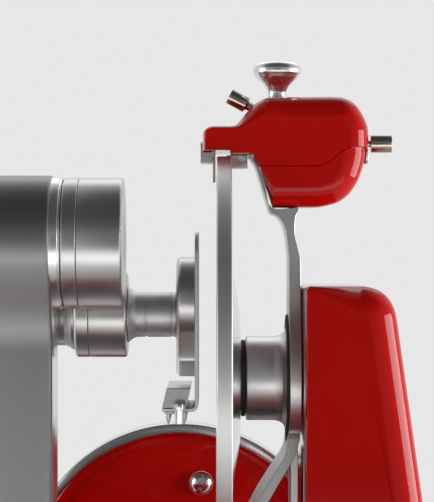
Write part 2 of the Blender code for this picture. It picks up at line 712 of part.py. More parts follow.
def make_knife_shaft(body):
    """The shaft with the flange that the knife is bolted to and the small chain wheel at its end."""
    flange_x = KNIFE_BACK_X + GAP
    wheel_end = CHAIN_WHEEL_X + CHAIN_WHEEL_WIDTH
    web = CHAIN_WHEEL_WIDTH * WHEEL_WEB_SHARE
    outline = (
        (KNIFE_FACE_X, 0),
        (KNIFE_FACE_X, SHAFT_RADIUS),
        (flange_x, SHAFT_RADIUS),
        (flange_x, KNIFE_FLANGE_RADIUS),
        (flange_x + KNIFE_FLANGE_WIDTH, KNIFE_FLANGE_RADIUS),
        (flange_x + KNIFE_FLANGE_WIDTH, SHAFT_RADIUS),
        (CHAIN_WHEEL_X + web, SHAFT_RADIUS),
        (CHAIN_WHEEL_X + web, UPPER_WHEEL_RADIUS),
        (wheel_end - web, UPPER_WHEEL_RADIUS),
        (wheel_end - web, SHAFT_RADIUS),
        (SHAFT_END_X, SHAFT_RADIUS),
        (SHAFT_END_X, 0),
    )
    keep(turned("knife_shaft", outline, AXES["X"], (0, 0, 0)), body, "dark_steel")


def make_hub(root):
    recess_radius = KNIFE_FLANGE_RADIUS + RUNNING_GAP
    recess_x = KNIFE_BACK_X + GAP + KNIFE_FLANGE_WIDTH + RUNNING_GAP
    flare_x = HUB_END_X - HUB_FLARE_LENGTH
    spread = HUB_FLARE_RADIUS - HUB_RADIUS
    outline = (
        (HUB_START_X, recess_radius),
        (HUB_START_X, HUB_RADIUS - HUB_CHAMFER),
        (HUB_START_X + HUB_CHAMFER, HUB_RADIUS),
        (flare_x, HUB_RADIUS),
        (flare_x + HUB_FLARE_LENGTH * 0.50, HUB_RADIUS + spread * 0.15),
        (flare_x + HUB_FLARE_LENGTH * 0.85, HUB_RADIUS + spread * 0.50),
        (HUB_END_X, HUB_FLARE_RADIUS),
        (HUB_END_X, HUB_BORE_RADIUS),
        (recess_x, HUB_BORE_RADIUS),
        (recess_x, recess_radius),
    )
    hub = turned("hub_housing", outline, AXES["X"], (0, 0, 0), WIDE_STEPS, closed=True)
    keep(hub, root, "cast_aluminium")
    bearing_end = HUB_END_X - GAP
    bore = SHAFT_RADIUS + RUNNING_GAP
    bearing_outline = (
        (recess_x + RUNNING_GAP, bore),
        (recess_x + RUNNING_GAP, HUB_BORE_RADIUS - GAP),
        (bearing_end, HUB_BORE_RADIUS - GAP),
        (bearing_end, bore),
        (bearing_end - BEARING_WIDTH, bore),
        (bearing_end - BEARING_WIDTH, bore + BEARING_RELIEF),
        (recess_x + RUNNING_GAP + BEARING_WIDTH, bore + BEARING_RELIEF),
        (recess_x + RUNNING_GAP + BEARING_WIDTH, bore),
    )
    bearing = turned("knife_bearing", bearing_outline, AXES["X"], (0, 0, 0), closed=True)
    keep(bearing, root, "bronze")
    gasket_x = HUB_END_X + GAP
    gasket = tube("hub_gasket", gasket_x, gasket_x + GASKET_THICKNESS, GASKET_RADIUS,
                  ARM_BORE_RADIUS, AXES["X"], (0, 0, 0), WIDE_STEPS)
    keep(gasket, root, "black_rubber")


def make_guard_ring(root):
    """A C swept round the knife on the side away from the cut, on a foot that stands on the base."""
    builder = bmesh.new()
    inner = RING_RADIUS - RING_WALL
    section = rounded(rectangle(-RING_WIDTH / 2, RING_WIDTH / 2, inner, RING_RADIUS), RING_CHAMFER, 1)
    start = Vector((0, math.cos(RING_FROM), math.sin(RING_FROM)))
    corners = [builder.verts.new(Vector((x, 0, 0)) + start * radius) for x, radius in section]
    face = builder.faces.new(corners)
    bmesh.ops.spin(builder, geom=[face], cent=(0, 0, 0), axis=(1, 0, 0), dvec=(0, 0, 0),
                   angle=RING_SWEEP, steps=RING_STEPS, use_merge=False, use_duplicate=False)
    ring = made("guard_ring", builder)
    foot_top = BASE_TOP_Z + GAP + RING_FOOT_HEIGHT
    half = RING_FOOT_LENGTH / 2
    foot_outline = [(-half, BASE_TOP_Z + GAP), (half, BASE_TOP_Z + GAP), (half * 0.8, foot_top),
                    (-half * 0.8, foot_top)]
    foot = prism("ring_foot", foot_outline, "X", -RING_WIDTH / 2, RING_WIDTH / 2)
    keep(joined(ring, foot), root, "brushed_steel")


def arm_width_outline():
    """The arm seen along the knife's axis: a boss at the hub, narrower above and wider at the foot."""
    def placed(shares):
        return [(ARM_FOOT_HALF_WIDTH * across, ARM_BOTTOM_Z + ARM_HEIGHT * up) for across, up in shares]

    boss = arc((0, 0), ARM_BOSS_RADIUS, ARM_BOSS_FROM, -ARM_BOSS_FROM, 2 * CORNER_STEPS)
    return mirrored_outline(placed(ARM_WIDTH_SHARES) + boss + placed(ARM_LOWER_WIDTH_SHARES))


def make_support_arm(root):
    """The casting that carries the hub and the sharpener, seen edge on as a long bent band."""
    shares = ARM_LEFT_SHARES + ARM_RIGHT_SHARES
    band_outline = scaled_outline(shares, ARM_FOOT_X, ARM_LENGTH, ARM_BOTTOM_Z, ARM_HEIGHT)
    reach = ARM_BOSS_RADIUS + OVERRUN
    arm = prism("support_arm", band_outline, "Y", -reach, reach)
    trimmed(arm, prism("arm_width", arm_width_outline(), "X", ARM_FOOT_X - OVERRUN, ARM_RIGHT_X + OVERRUN))
    stay_top = ARM_BOTTOM_Z + ARM_HEIGHT * ARM_LEFT_SHARES[10][1]
    stay_outline = rectangle(ARM_RIGHT_X - ARM_STAY_LENGTH, ARM_RIGHT_X, ARM_BOTTOM_Z, stay_top)
    stay_near = -ARM_STAY_WIDTH * ARM_STAY_NEAR_SHARE
    stay = prism("arm_stay", stay_outline, "Y", stay_near, stay_near + ARM_STAY_WIDTH)
    joined(arm, stay)
    bore = rod("arm_bore", ARM_LEFT_X - OVERRUN, ARM_RIGHT_X + OVERRUN, ARM_BORE_RADIUS, AXES["X"],
               (0, 0, 0), ROUND_STEPS)
    spot_face = rod("spot_face", HUB_END_X - HUB_FLARE_LENGTH, ARM_LEFT_X, GASKET_RADIUS + RUNNING_GAP,
                    AXES["X"], (0, 0, 0), WIDE_STEPS)
    keep(cut(arm, bore, spot_face), root, "cast_aluminium")


# Base and upright housing


def base_outline(inset):
    corners = rectangle(BASE_LEFT_X + inset, BASE_RIGHT_X - inset,
                        -BASE_DEPTH / 2 + inset, BASE_DEPTH / 2 - inset)
    return rounded(corners, BASE_CORNER - inset)


def make_base(root):
    """The main casting: a skirt, straight sides, a rounded top and a hollow that is open below."""
    shoulder = BASE_TOP_Z - BASE_TOP_ROUND
    inset_more = BASE_TOP_INSET - BASE_WAIST_INSET
    levels = [
        (BASE_BOTTOM_Z, base_outline(0)),
        (BASE_BOTTOM_Z + BASE_SKIRT_HEIGHT, base_outline(0)),
        (BASE_BOTTOM_Z + BASE_SKIRT_HEIGHT + BASE_STEP_HEIGHT, base_outline(BASE_WAIST_INSET)),
        (shoulder, base_outline(BASE_WAIST_INSET)),
    ]
    for up_share, inset_share in BASE_ROUND_SHARES:
        inset = BASE_WAIST_INSET + inset_more * inset_share
        levels.append((shoulder + BASE_TOP_ROUND * up_share, base_outline(inset)))
    base = lofted("base_casting", levels)
    hollow_inset = BASE_WAIST_INSET + BASE_WALL
    hollow_top = BASE_TOP_Z - BASE_WALL
    hollow_levels = [
        (BASE_BOTTOM_Z - OVERRUN, base_outline(hollow_inset)),
        (shoulder - BASE_WALL, base_outline(hollow_inset)),
        (hollow_top, base_outline(hollow_inset + inset_more)),
    ]
    hollow = lofted("base_hollow", hollow_levels)
    well = LOWER_WHEEL_RADIUS + CHAIN_GAP + CHAIN_THICKNESS
    well_outline = rounded(rectangle(CHAIN_WHEEL_X - WELL_MARGIN, CHAIN_WHEEL_X + CHAIN_WHEEL_WIDTH
                                     + WELL_MARGIN, -well, well), WELL_MARGIN, 2)
    chain_well = prism("chain_well", well_outline, "Z", hollow_top - OVERRUN, BASE_TOP_Z + OVERRUN)
    shaft_hole = rod("shaft_hole", BASE_WAIST_Y - BUSH_SPIGOT_LENGTH - OVERRUN, BASE_WAIST_Y + OVERRUN,
                     BUSH_SPIGOT_RADIUS + GAP, AXES["Y"], (FLYWHEEL_X, 0, DRIVE_Z), ROUND_STEPS)
    rail_parts, rail_bores = rail_lugs()
    gauge_parts, gauge_bores = gauge_lugs()
    cut(base, hollow, chain_well, shaft_hole)
    joined(base, *rail_parts, *gauge_parts)
    keep(cut(base, *rail_bores, *gauge_bores), root, "red_enamel")


def make_base_plate(root):
    top = BASE_BOTTOM_Z - GAP
    plate = prism("base_plate", base_outline(PLATE_INSET), "Z", top - PLATE_THICKNESS, top)
    keep(plate, root, "brushed_steel")


def make_feet(root):
    top = BASE_BOTTOM_Z - GAP - PLATE_THICKNESS - GAP
    half_depth = BASE_DEPTH / 2 - FOOT_INSET
    places = [(x, y) for x in (BASE_LEFT_X + FOOT_INSET, BASE_RIGHT_X - FOOT_INSET)
              for y in (-half_depth, half_depth)]
    outline = (
        (-FOOT_HEIGHT, 0),
        (-FOOT_HEIGHT, FOOT_RADIUS * 0.72),
        (-FOOT_HEIGHT * 0.85, FOOT_RADIUS * 0.82),
        (0, FOOT_RADIUS),
        (0, 0),
    )
    for number, (x, y) in enumerate(places, 1):
        foot = turned(f"rubber_foot_{number}", outline, AXES["Z"], (x, y, top), SMALL_STEPS)
        keep(foot, root, "black_rubber")


def housing_corners(inset):
    """The housing's outline seen from the front: its left side upright, its right side slanted."""
    bottom = BASE_TOP_Z + GAP
    lean = (HOUSING_FOOT_LENGTH - HOUSING_TOP_LENGTH) / (HOUSING_TOP_Z - bottom)
    far_inset = inset * math.hypot(1, lean)
    top_right = HOUSING_LEFT_X + HOUSING_TOP_LENGTH + lean * inset - far_inset
    return [
        (HOUSING_LEFT_X + inset, bottom),
        (HOUSING_LEFT_X + HOUSING_FOOT_LENGTH - far_inset, bottom),
        (top_right, HOUSING_TOP_Z - inset),
        (HOUSING_LEFT_X + inset, HOUSING_TOP_Z - inset),
    ]


def make_upright_housing(root):
    """A shell over the chain drive, open below onto the base and bored for the knife shaft."""
    half = HOUSING_DEPTH / 2
    bottom = BASE_TOP_Z + GAP
    outline = rounded(housing_corners(0), [0, 0, HOUSING_FAR_CORNER, HOUSING_NEAR_CORNER], 6)
    shell = prism("upright_housing", outline, "Y", -half, half)

    def on_a_side(edge):
        middle = (edge.verts[0].co + edge.verts[1].co) / 2
        flat = abs(edge.verts[0].co.y - edge.verts[1].co.y) < MERGE
        return flat and middle.z > bottom + OVERRUN

    softened(shell, HOUSING_EDGE, 4, on_a_side)
    inner = [(x, z - OVERRUN * (z == bottom)) for x, z in housing_corners(HOUSING_WALL)]
    far_round = HOUSING_FAR_CORNER - HOUSING_WALL
    hollow = prism("housing_hollow", rounded(inner, [0, 0, far_round, 0]), "Y",
                   -half + HOUSING_EDGE, half - HOUSING_EDGE)
    bore = rod("housing_bore", HOUSING_LEFT_X - OVERRUN, HOUSING_LEFT_X + HOUSING_WALL + OVERRUN,
               ARM_BORE_RADIUS, AXES["X"], (0, 0, 0), ROUND_STEPS)
    keep(cut(shell, hollow, bore), root, "red_enamel")


# Flywheel and drive


def make_flywheel(body):
    far_y = FLYWHEEL_NEAR_Y + FLYWHEEL_WIDTH
    place = (FLYWHEEL_X, 0, FLYWHEEL_Z)
    crown = FLYWHEEL_RIM_WALL * 0.2
    inner = FLYWHEEL_RADIUS - FLYWHEEL_RIM_WALL
    rim_outline = (
        (FLYWHEEL_NEAR_Y, inner),
        (FLYWHEEL_NEAR_Y, FLYWHEEL_RADIUS - crown),
        (FLYWHEEL_NEAR_Y + crown, FLYWHEEL_RADIUS),
        (far_y - crown, FLYWHEEL_RADIUS),
        (far_y, FLYWHEEL_RADIUS - crown),
        (far_y, inner),
    )
    rim = turned("flywheel_rim", rim_outline, AXES["Y"], place, LARGE_STEPS, closed=True)
    keep(rim, body, "polished_steel")
    edge = inner - GAP
    lip = FLYWHEEL_LIP_LENGTH
    bore = FLYWHEEL_SHAFT_RADIUS + GAP
    disc_outline = (
        (DISC_NEAR_Y - FLYWHEEL_HUB_NEAR_LENGTH, bore),
        (DISC_NEAR_Y - FLYWHEEL_HUB_NEAR_LENGTH, FLYWHEEL_HUB_RADIUS),
        (DISC_NEAR_Y, FLYWHEEL_HUB_RADIUS * 1.2),
        (DISC_NEAR_Y, FLYWHEEL_STEP_RADIUS),
        (DISC_NEAR_Y - FLYWHEEL_STEP_DEPTH, FLYWHEEL_STEP_RADIUS + FLYWHEEL_STEP_DEPTH),
        (DISC_NEAR_Y - FLYWHEEL_STEP_DEPTH, edge - lip),
        (DISC_NEAR_Y - lip, edge),
        (DISC_FAR_Y + lip, edge),
        (DISC_FAR_Y, edge - lip),
        (DISC_FAR_Y, FLYWHEEL_HUB_RADIUS * 1.2),
        (DISC_FAR_Y + FLYWHEEL_HUB_FAR_LENGTH, FLYWHEEL_HUB_RADIUS),
        (DISC_FAR_Y + FLYWHEEL_HUB_FAR_LENGTH, bore),
    )
    disc = turned("flywheel_disc", disc_outline, AXES["Y"], place, LARGE_STEPS, closed=True)
    hole = rod("pin_hole", DISC_NEAR_Y - OVERRUN, DISC_FAR_Y + OVERRUN, CRANK_PIN_RADIUS + GAP,
               AXES["Y"], (CRANK_X, 0, CRANK_Z))
    keep(cut(disc, hole), body, "red_enamel")


def make_flywheel_shaft(body):
    place = (FLYWHEEL_X, 0, FLYWHEEL_Z)
    end = DISC_FAR_Y + FLYWHEEL_HUB_FAR_LENGTH
    start = GEAR_PITCH_RADIUS * (1 - GEAR_FACE_SHARE)
    outline = (
        (start, 0),
        (start, FLYWHEEL_SHAFT_RADIUS),
        (end + GAP, FLYWHEEL_SHAFT_RADIUS),
        (end + GAP, HUB_CAP_RADIUS),
        (end + GAP + HUB_CAP_HEIGHT * 0.35, HUB_CAP_RADIUS),
        (end + GAP + HUB_CAP_HEIGHT * 0.80, HUB_CAP_RADIUS * 0.72),
        (end + GAP + HUB_CAP_HEIGHT, HUB_CAP_RADIUS * 0.30),
        (end + GAP + HUB_CAP_HEIGHT, 0),
    )
    keep(turned("flywheel_shaft", outline, AXES["Y"], place), body, "dark_steel")


def make_crank(wheel, grip_body):
    """The crank pin through the disc, its domed nut on the near side and the grip that turns on it."""
    place = (CRANK_X, 0, CRANK_Z)
    nut_back = DISC_NEAR_Y - GAP
    nut_front = nut_back - DOME_NUT_HEIGHT
    pin_start = nut_back - DOME_NUT_HEIGHT * 0.6
    grip_start = DISC_FAR_Y + GAP + CRANK_PIN_RADIUS
    grip_end = grip_start + GRIP_LENGTH
    head_start = grip_end + GAP
    pin_outline = (
        (pin_start, 0),
        (pin_start, CRANK_PIN_RADIUS),
        (DISC_FAR_Y + GAP, CRANK_PIN_RADIUS),
        (DISC_FAR_Y + GAP, CRANK_PIN_RADIUS * 1.8),
        (grip_start - GAP, CRANK_PIN_RADIUS * 1.4),
        (grip_start - GAP, CRANK_PIN_RADIUS),
        (head_start, CRANK_PIN_RADIUS),
        (head_start, PIN_HEAD_RADIUS),
        (head_start + PIN_HEAD_LENGTH, PIN_HEAD_RADIUS * 0.8),
        (head_start + PIN_HEAD_LENGTH, 0),
    )
    keep(turned("crank_pin", pin_outline, AXES["Y"], place, SMALL_STEPS), wheel, "polished_steel")
    nut_bore = CRANK_PIN_RADIUS + GAP
    nut_outline = (
        (pin_start - GAP, 0),
        (pin_start - GAP, nut_bore),
        (nut_back, nut_bore),
        (nut_back, DOME_NUT_RADIUS),
        (nut_back - DOME_NUT_HEIGHT * 0.45, DOME_NUT_RADIUS),
        (nut_back - DOME_NUT_HEIGHT * 0.85, DOME_NUT_RADIUS * 0.70),
        (nut_front, DOME_NUT_RADIUS * 0.25),
        (nut_front, 0),
    )
    keep(turned("crank_nut", nut_outline, AXES["Y"], place, SMALL_STEPS), wheel, "polished_steel")
    bore = CRANK_PIN_RADIUS + GRIP_RUNNING_GAP
    grip_shares = ((0.0, 0.70), (0.08, 0.82), (0.35, 1.0), (0.70, 0.88), (0.92, 0.98), (1.0, 0.80))
    outer = [(grip_start + GRIP_LENGTH * along, GRIP_RADIUS * out) for along, out in grip_shares]
    grip_outline = [(grip_start, bore)] + outer + [(grip_end, bore)]
    grip = turned("crank_grip", grip_outline, AXES["Y"], place, ROUND_STEPS, closed=True)
    keep(grip, grip_body, "black_grip")


def make_flywheel_bush(root):
    wall_out = BASE_WAIST_Y
    flange_start = wall_out + GAP
    flange_end = flange_start + BUSH_FLANGE_LENGTH
    bore = FLYWHEEL_SHAFT_RADIUS + RUNNING_GAP
    outline = (
        (wall_out - BUSH_SPIGOT_LENGTH, bore),
        (wall_out - BUSH_SPIGOT_LENGTH, BUSH_SPIGOT_RADIUS),
        (flange_start, BUSH_SPIGOT_RADIUS),
        (flange_start, BUSH_FLANGE_RADIUS),
        (flange_end, BUSH_FLANGE_RADIUS),
        (flange_end, BUSH_NOSE_RADIUS),
        (flange_end + BUSH_NOSE_LENGTH, BUSH_NOSE_RADIUS * 0.9),
        (flange_end + BUSH_NOSE_LENGTH, bore),
    )
    place = (FLYWHEEL_X, 0, FLYWHEEL_Z)
    keep(turned("flywheel_bush", outline, AXES["Y"], place, closed=True), root, "cast_aluminium")


def gear_ring(builder, along_axis, side_axis, apex, teeth, scale, phase):
    """One end of a mitre gear's tooth surface, as points round the axis, scaled from the pitch apex."""
    up_axis = along_axis.cross(side_axis)
    slant = math.hypot(GEAR_PITCH_RADIUS, GEAR_PITCH_RADIUS)
    rise = GEAR_PITCH_RADIUS / slant
    pitch = math.tau / teeth
    corners = (
        (-TOOTH_ROOT_SHARE, -GEAR_DEDENDUM),
        (-TOOTH_TIP_SHARE, GEAR_ADDENDUM),
        (TOOTH_TIP_SHARE, GEAR_ADDENDUM),
        (TOOTH_ROOT_SHARE, -GEAR_DEDENDUM),
    )
    points = []
    for tooth in range(teeth):
        for share, height in corners:
            angle = phase + pitch * (tooth + share / 2)
            radius = (GEAR_PITCH_RADIUS + height * rise) * scale
            along = (GEAR_PITCH_RADIUS - height * rise) * scale
            spoke = side_axis * math.cos(angle) + up_axis * math.sin(angle)
            points.append(builder.verts.new(Vector(apex) + along_axis * along + spoke * radius))
    return points


def circle_ring(builder, along_axis, side_axis, apex, count, along, radius, phase):
    up_axis = along_axis.cross(side_axis)
    points = []
    for step in range(count):
        angle = phase + math.tau * step / count
        spoke = side_axis * math.cos(angle) + up_axis * math.sin(angle)
        points.append(builder.verts.new(Vector(apex) + along_axis * along + spoke * radius))
    return points


def mitre_gear(name, along_axis, side_axis, apex, bore, phase):
    """A straight-cut mitre gear whose teeth shrink towards the point where the two shafts meet."""
    builder = bmesh.new()
    inner_scale = 1 - GEAR_FACE_SHARE
    count = GEAR_TEETH * 4
    back = GEAR_PITCH_RADIUS + GEAR_BACK_LENGTH
    front = (GEAR_PITCH_RADIUS + GEAR_DEDENDUM) * inner_scale
    shift = phase - math.tau / GEAR_TEETH * TOOTH_ROOT_SHARE / 2
    rings = [
        circle_ring(builder, along_axis, side_axis, apex, count, front, bore, shift),
        gear_ring(builder, along_axis, side_axis, apex, GEAR_TEETH, inner_scale, phase),
        gear_ring(builder, along_axis, side_axis, apex, GEAR_TEETH, 1, phase),
        circle_ring(builder, along_axis, side_axis, apex, count, back, GEAR_PITCH_RADIUS * 0.72, shift),
        circle_ring(builder, along_axis, side_axis, apex, count, back, bore, shift),
    ]
    for first, second in zip(rings, rings[1:] + rings[:1]):
        for step in range(count):
            after = (step + 1) % count
            builder.faces.new((first[step], first[after], second[after], second[step]))
    return made(name, builder)


def make_drive_gears(wheel, cross):
    apex = (FLYWHEEL_X, 0, DRIVE_Z)
    half_pitch = math.pi / GEAR_TEETH
    wheel_gear = mitre_gear("drive_gear", AXES["Y"], AXES["Z"], apex, FLYWHEEL_SHAFT_RADIUS + GAP, 0)
    keep(wheel_gear, wheel, "dark_steel")
    pinion = mitre_gear("pinion_shaft", AXES["X"], AXES["Z"], apex, PINION_BORE_RADIUS, half_pitch)
    shaft = rod("cross_shaft", FLYWHEEL_X + CROSS_SHAFT_LEFT, SHAFT_END_X, CROSS_SHAFT_RADIUS, AXES["X"],
                (0, 0, DRIVE_Z), ROUND_STEPS)
    keep(joined(pinion, shaft), cross, "dark_steel")


def make_lower_wheel(body):
    end = CHAIN_WHEEL_X + CHAIN_WHEEL_WIDTH
    web = CHAIN_WHEEL_WIDTH * WHEEL_WEB_SHARE
    bore = CROSS_SHAFT_RADIUS + GAP
    outline = (
        (CHAIN_WHEEL_X, bore),
        (CHAIN_WHEEL_X, bore + 2 * web),
        (CHAIN_WHEEL_X + web, bore + 3 * web),
        (CHAIN_WHEEL_X + web, LOWER_WHEEL_RADIUS),
        (end - web, LOWER_WHEEL_RADIUS),
        (end - web, bore + 3 * web),
        (end, bore + 2 * web),
        (end, bore),
    )
    wheel = turned("lower_chain_wheel", outline, AXES["X"], (0, 0, DRIVE_Z), WIDE_STEPS, closed=True)
    keep(wheel, body, "dark_steel")


def chain_outline(offset):
    """The belt line round both wheels, in Y and Z: an arc over each wheel and two straight runs."""
    lower = LOWER_WHEEL_RADIUS + offset
    upper = UPPER_WHEEL_RADIUS + offset
    lean = math.asin((lower - upper) / -DRIVE_Z)
    top = arc((0, 0), upper, lean, math.pi - lean, SMALL_STEPS)
    bottom = arc((0, DRIVE_Z), lower, math.pi - lean, math.tau + lean, WIDE_STEPS)
    return top + bottom


def make_chain(root):
    middle = CHAIN_WHEEL_X + CHAIN_WHEEL_WIDTH / 2
    start = middle - CHAIN_WIDTH / 2
    end = middle + CHAIN_WIDTH / 2
    chain = prism("drive_chain", chain_outline(CHAIN_GAP + CHAIN_THICKNESS), "X", start, end)
    inside = prism("chain_inside", chain_outline(CHAIN_GAP), "X", start - OVERRUN, end + OVERRUN)
    keep(cut(chain, inside), root, "dark_steel")


def bearing_block(name, axis, side, start):
    """A block hung from a plate, with the shaft's axis at the drive's height."""
    top = BASE_TOP_Z - BASE_WALL - GAP - BRACKET_THICKNESS / 2
    low = DRIVE_Z - BLOCK_DROP
    corners = [(side - BLOCK_HALF_DEPTH, top), (side - BLOCK_HALF_DEPTH, low),
               (side + BLOCK_HALF_DEPTH, low), (side + BLOCK_HALF_DEPTH, top)]
    outline = rounded(corners, [0, BLOCK_HALF_DEPTH * 0.6, BLOCK_HALF_DEPTH * 0.6, 0])
    return prism(name, outline, axis, start, start + BLOCK_WIDTH)


def make_gear_bracket(root):
    """One casting under the base's roof: two blocks for the cross shaft and one for the flywheel's."""
    top = BASE_TOP_Z - BASE_WALL - GAP
    half = BLOCK_HALF_DEPTH
    wheel_block_y = GEAR_PITCH_RADIUS + GEAR_BACK_LENGTH + BLOCK_WIDTH
    right = BLOCK_RIGHT_X + BLOCK_WIDTH
    far = wheel_block_y + BLOCK_WIDTH
    corners = [(BLOCK_LEFT_X, -half), (right, -half), (right, half), (BLOCK_LEFT_X + half, far),
               (FLYWHEEL_X - half, far), (FLYWHEEL_X - half, wheel_block_y),
               (BLOCK_LEFT_X, wheel_block_y)]
    plate = prism("gear_bracket", corners, "Z", top - BRACKET_THICKNESS, top)
    left_block = bearing_block("cross_block_left", "X", 0, BLOCK_LEFT_X)
    right_block = bearing_block("cross_block_right", "X", 0, BLOCK_RIGHT_X)
    wheel_block = bearing_block("flywheel_block", "Y", FLYWHEEL_X, wheel_block_y)
    joined(plate, left_block, right_block, wheel_block)
    cross_bore = rod("cross_bore", BLOCK_LEFT_X - OVERRUN, right + OVERRUN,
                     CROSS_SHAFT_RADIUS + RUNNING_GAP, AXES["X"], (0, 0, DRIVE_Z), ROUND_STEPS)
    wheel_bore = rod("wheel_bore", wheel_block_y - OVERRUN, far + OVERRUN,
                     FLYWHEEL_SHAFT_RADIUS + RUNNING_GAP, AXES["Y"], (FLYWHEEL_X, 0, DRIVE_Z),
                     ROUND_STEPS)
    keep(cut(plate, cross_bore, wheel_bore), root, "cast_aluminium")


# Carriage


def rail_places():
    return (("left", RAIL_LEFT_X), ("right", RAIL_LEFT_X + RAIL_SPAN))


def make_rails(root):
    for side, x in rail_places():
        rail = rod(f"carriage_rail_{side}", -RAIL_LENGTH / 2, RAIL_LENGTH / 2, RAIL_RADIUS, AXES["Y"],
                   (x, 0, RAIL_Z))
        keep(rail, root, "polished_steel")


def rail_lugs():
    """The two lugs cast on the base for the ends of the rails, and the bores through them."""
    bottom = BASE_TOP_Z - BASE_WALL / 2
    top = RAIL_Z + RAIL_LUG_TOP
    left = RAIL_LEFT_X - RAIL_LUG_OVERHANG
    right = RAIL_LEFT_X + RAIL_SPAN + RAIL_LUG_OVERHANG
    corners = [(left, bottom), (right, bottom), (right, top), (left, top)]
    outline = rounded(corners, [0, 0, RAIL_RADIUS, RAIL_RADIUS])
    starts = (-RAIL_LENGTH / 2, RAIL_LENGTH / 2 - RAIL_LUG_WIDTH)
    lugs = [prism("rail_lug", outline, "Y", start, start + RAIL_LUG_WIDTH) for start in starts]
    reach = RAIL_LENGTH / 2 + OVERRUN
    bores = [rod("rail_bore", -reach, reach, RAIL_RADIUS + GAP, AXES["Y"], (x, 0, RAIL_Z))
             for _, x in rail_places()]
    return lugs, bores


def make_carriage_frame(carriage):
    """Four walls under the table, a bored boss on each rail and the rod that guides the saddle."""
    half = FRAME_DEPTH / 2
    right = FRAME_RIGHT_X
    bottom = FRAME_TOP_Z - FRAME_HEIGHT
    outline = rounded(rectangle(FRAME_LEFT_X, right, -half, half), FRAME_WALL, 2)
    frame = prism("carriage_frame", outline, "Z", bottom, FRAME_TOP_Z)
    inner = rectangle(FRAME_LEFT_X + FRAME_WALL, right - FRAME_WALL, -half + FRAME_WALL, half - FRAME_WALL)
    hollow = prism("frame_hollow", inner, "Z", bottom - OVERRUN, FRAME_TOP_Z + OVERRUN)
    cut(frame, hollow)
    bosses = []
    for _, x in rail_places():
        corners = rectangle(x - SLIDE_BOSS_RADIUS, x + SLIDE_BOSS_RADIUS, RAIL_Z - SLIDE_BOSS_RADIUS,
                            RAIL_Z + SLIDE_BOSS_HEIGHT)
        boss_outline = rounded(corners, [RAIL_RADIUS, RAIL_RADIUS, 0, 0])
        bosses.append(prism("slide_boss", boss_outline, "Y", -SLIDE_BOSS_LENGTH / 2, SLIDE_BOSS_LENGTH / 2))
    guide = rod("guide_rod", FRAME_LEFT_X + FRAME_WALL / 2, right - FRAME_WALL / 2, GUIDE_RADIUS,
                AXES["X"], (0, GUIDE_Y, SCREW_Z))
    joined(frame, guide, *bosses)
    screw_bore = rod("screw_bore", FRAME_LEFT_X - OVERRUN, right + OVERRUN, SCREW_RADIUS + RUNNING_GAP,
                     AXES["X"], (0, SCREW_Y, SCREW_Z))
    rail_bores = [rod("slide_bore", -half - OVERRUN, half + OVERRUN, RAIL_RADIUS + RUNNING_GAP,
                      AXES["Y"], (x, 0, RAIL_Z)) for _, x in rail_places()]
    keep(cut(frame, screw_bore, *rail_bores), carriage, "cast_aluminium")


def make_meat_table(carriage):
    """The table on the carriage, with the slot that the press saddle's web travels in."""
    half = TABLE_DEPTH / 2
    left = FRAME_LEFT_X - TABLE_LEFT_OVERHANG
    right = FRAME_RIGHT_X + TABLE_RIGHT_OVERHANG
    outline = rounded(rectangle(left, right, -half, half), TABLE_CORNER)
    table = prism("meat_table", outline, "Z", TABLE_TOP_Z - TABLE_THICKNESS, TABLE_TOP_Z)
    slot_right = SADDLE_X + SADDLE_WEB_LENGTH / 2 + SLOT_MARGIN
    slot_left = SADDLE_X - SADDLE_WEB_LENGTH / 2 - FEED_TRAVEL - SLOT_MARGIN
    slot_outline = rounded(rectangle(slot_left, slot_right, COLUMN_Y - SLOT_WIDTH / 2,
                                     COLUMN_Y + SLOT_WIDTH / 2), SLOT_MARGIN, 2)
    slot = prism("table_slot", slot_outline, "Z", TABLE_TOP_Z - TABLE_THICKNESS - OVERRUN,
                 TABLE_TOP_Z + OVERRUN)
    keep(cut(table, slot), carriage, "polished_steel")


def make_feed_screw(screw):
    end = FRAME_RIGHT_X - GAP
    start = FRAME_LEFT_X - SCREW_OVERHANG
    place = (0, SCREW_Y, SCREW_Z)
    wheel_end = start - GAP
    wheel_start = wheel_end - HANDWHEEL_WIDTH
    shaft = rod("feed_screw", start, end, SCREW_RADIUS, AXES["X"], place)
    keep(shaft, screw, "polished_steel")
    outline = (
        (wheel_start, 0),
        (wheel_start, HANDWHEEL_RADIUS * 0.55),
        (wheel_start + HANDWHEEL_WIDTH * 0.2, HANDWHEEL_RADIUS * 0.90),
        (wheel_start + HANDWHEEL_WIDTH * 0.5, HANDWHEEL_RADIUS),
        (wheel_end, HANDWHEEL_RADIUS * 0.92),
        (wheel_end, 0),
    )
    wheel = turned("feed_handwheel", outline, AXES["X"], place, ROUND_STEPS)
    knob_end = wheel_start + HANDWHEEL_WIDTH / 2
    knob_start = wheel_start - HANDWHEEL_KNOB_LENGTH
    knob_outline = (
        (knob_start, 0),
        (knob_start, HANDWHEEL_KNOB_RADIUS * 0.7),
        (knob_start + HANDWHEEL_KNOB_LENGTH * 0.2, HANDWHEEL_KNOB_RADIUS),
        (knob_end - HANDWHEEL_KNOB_LENGTH * 0.25, HANDWHEEL_KNOB_RADIUS * 0.8),
        (knob_end, HANDWHEEL_KNOB_RADIUS * 0.6),
        (knob_end, 0),
    )
    knob_place = (0, SCREW_Y, SCREW_Z + HANDWHEEL_RADIUS * 0.4)
    joined(wheel, turned("handwheel_knob", knob_outline, AXES["X"], knob_place, SMALL_STEPS))
    keep(wheel, screw, "polished_steel")


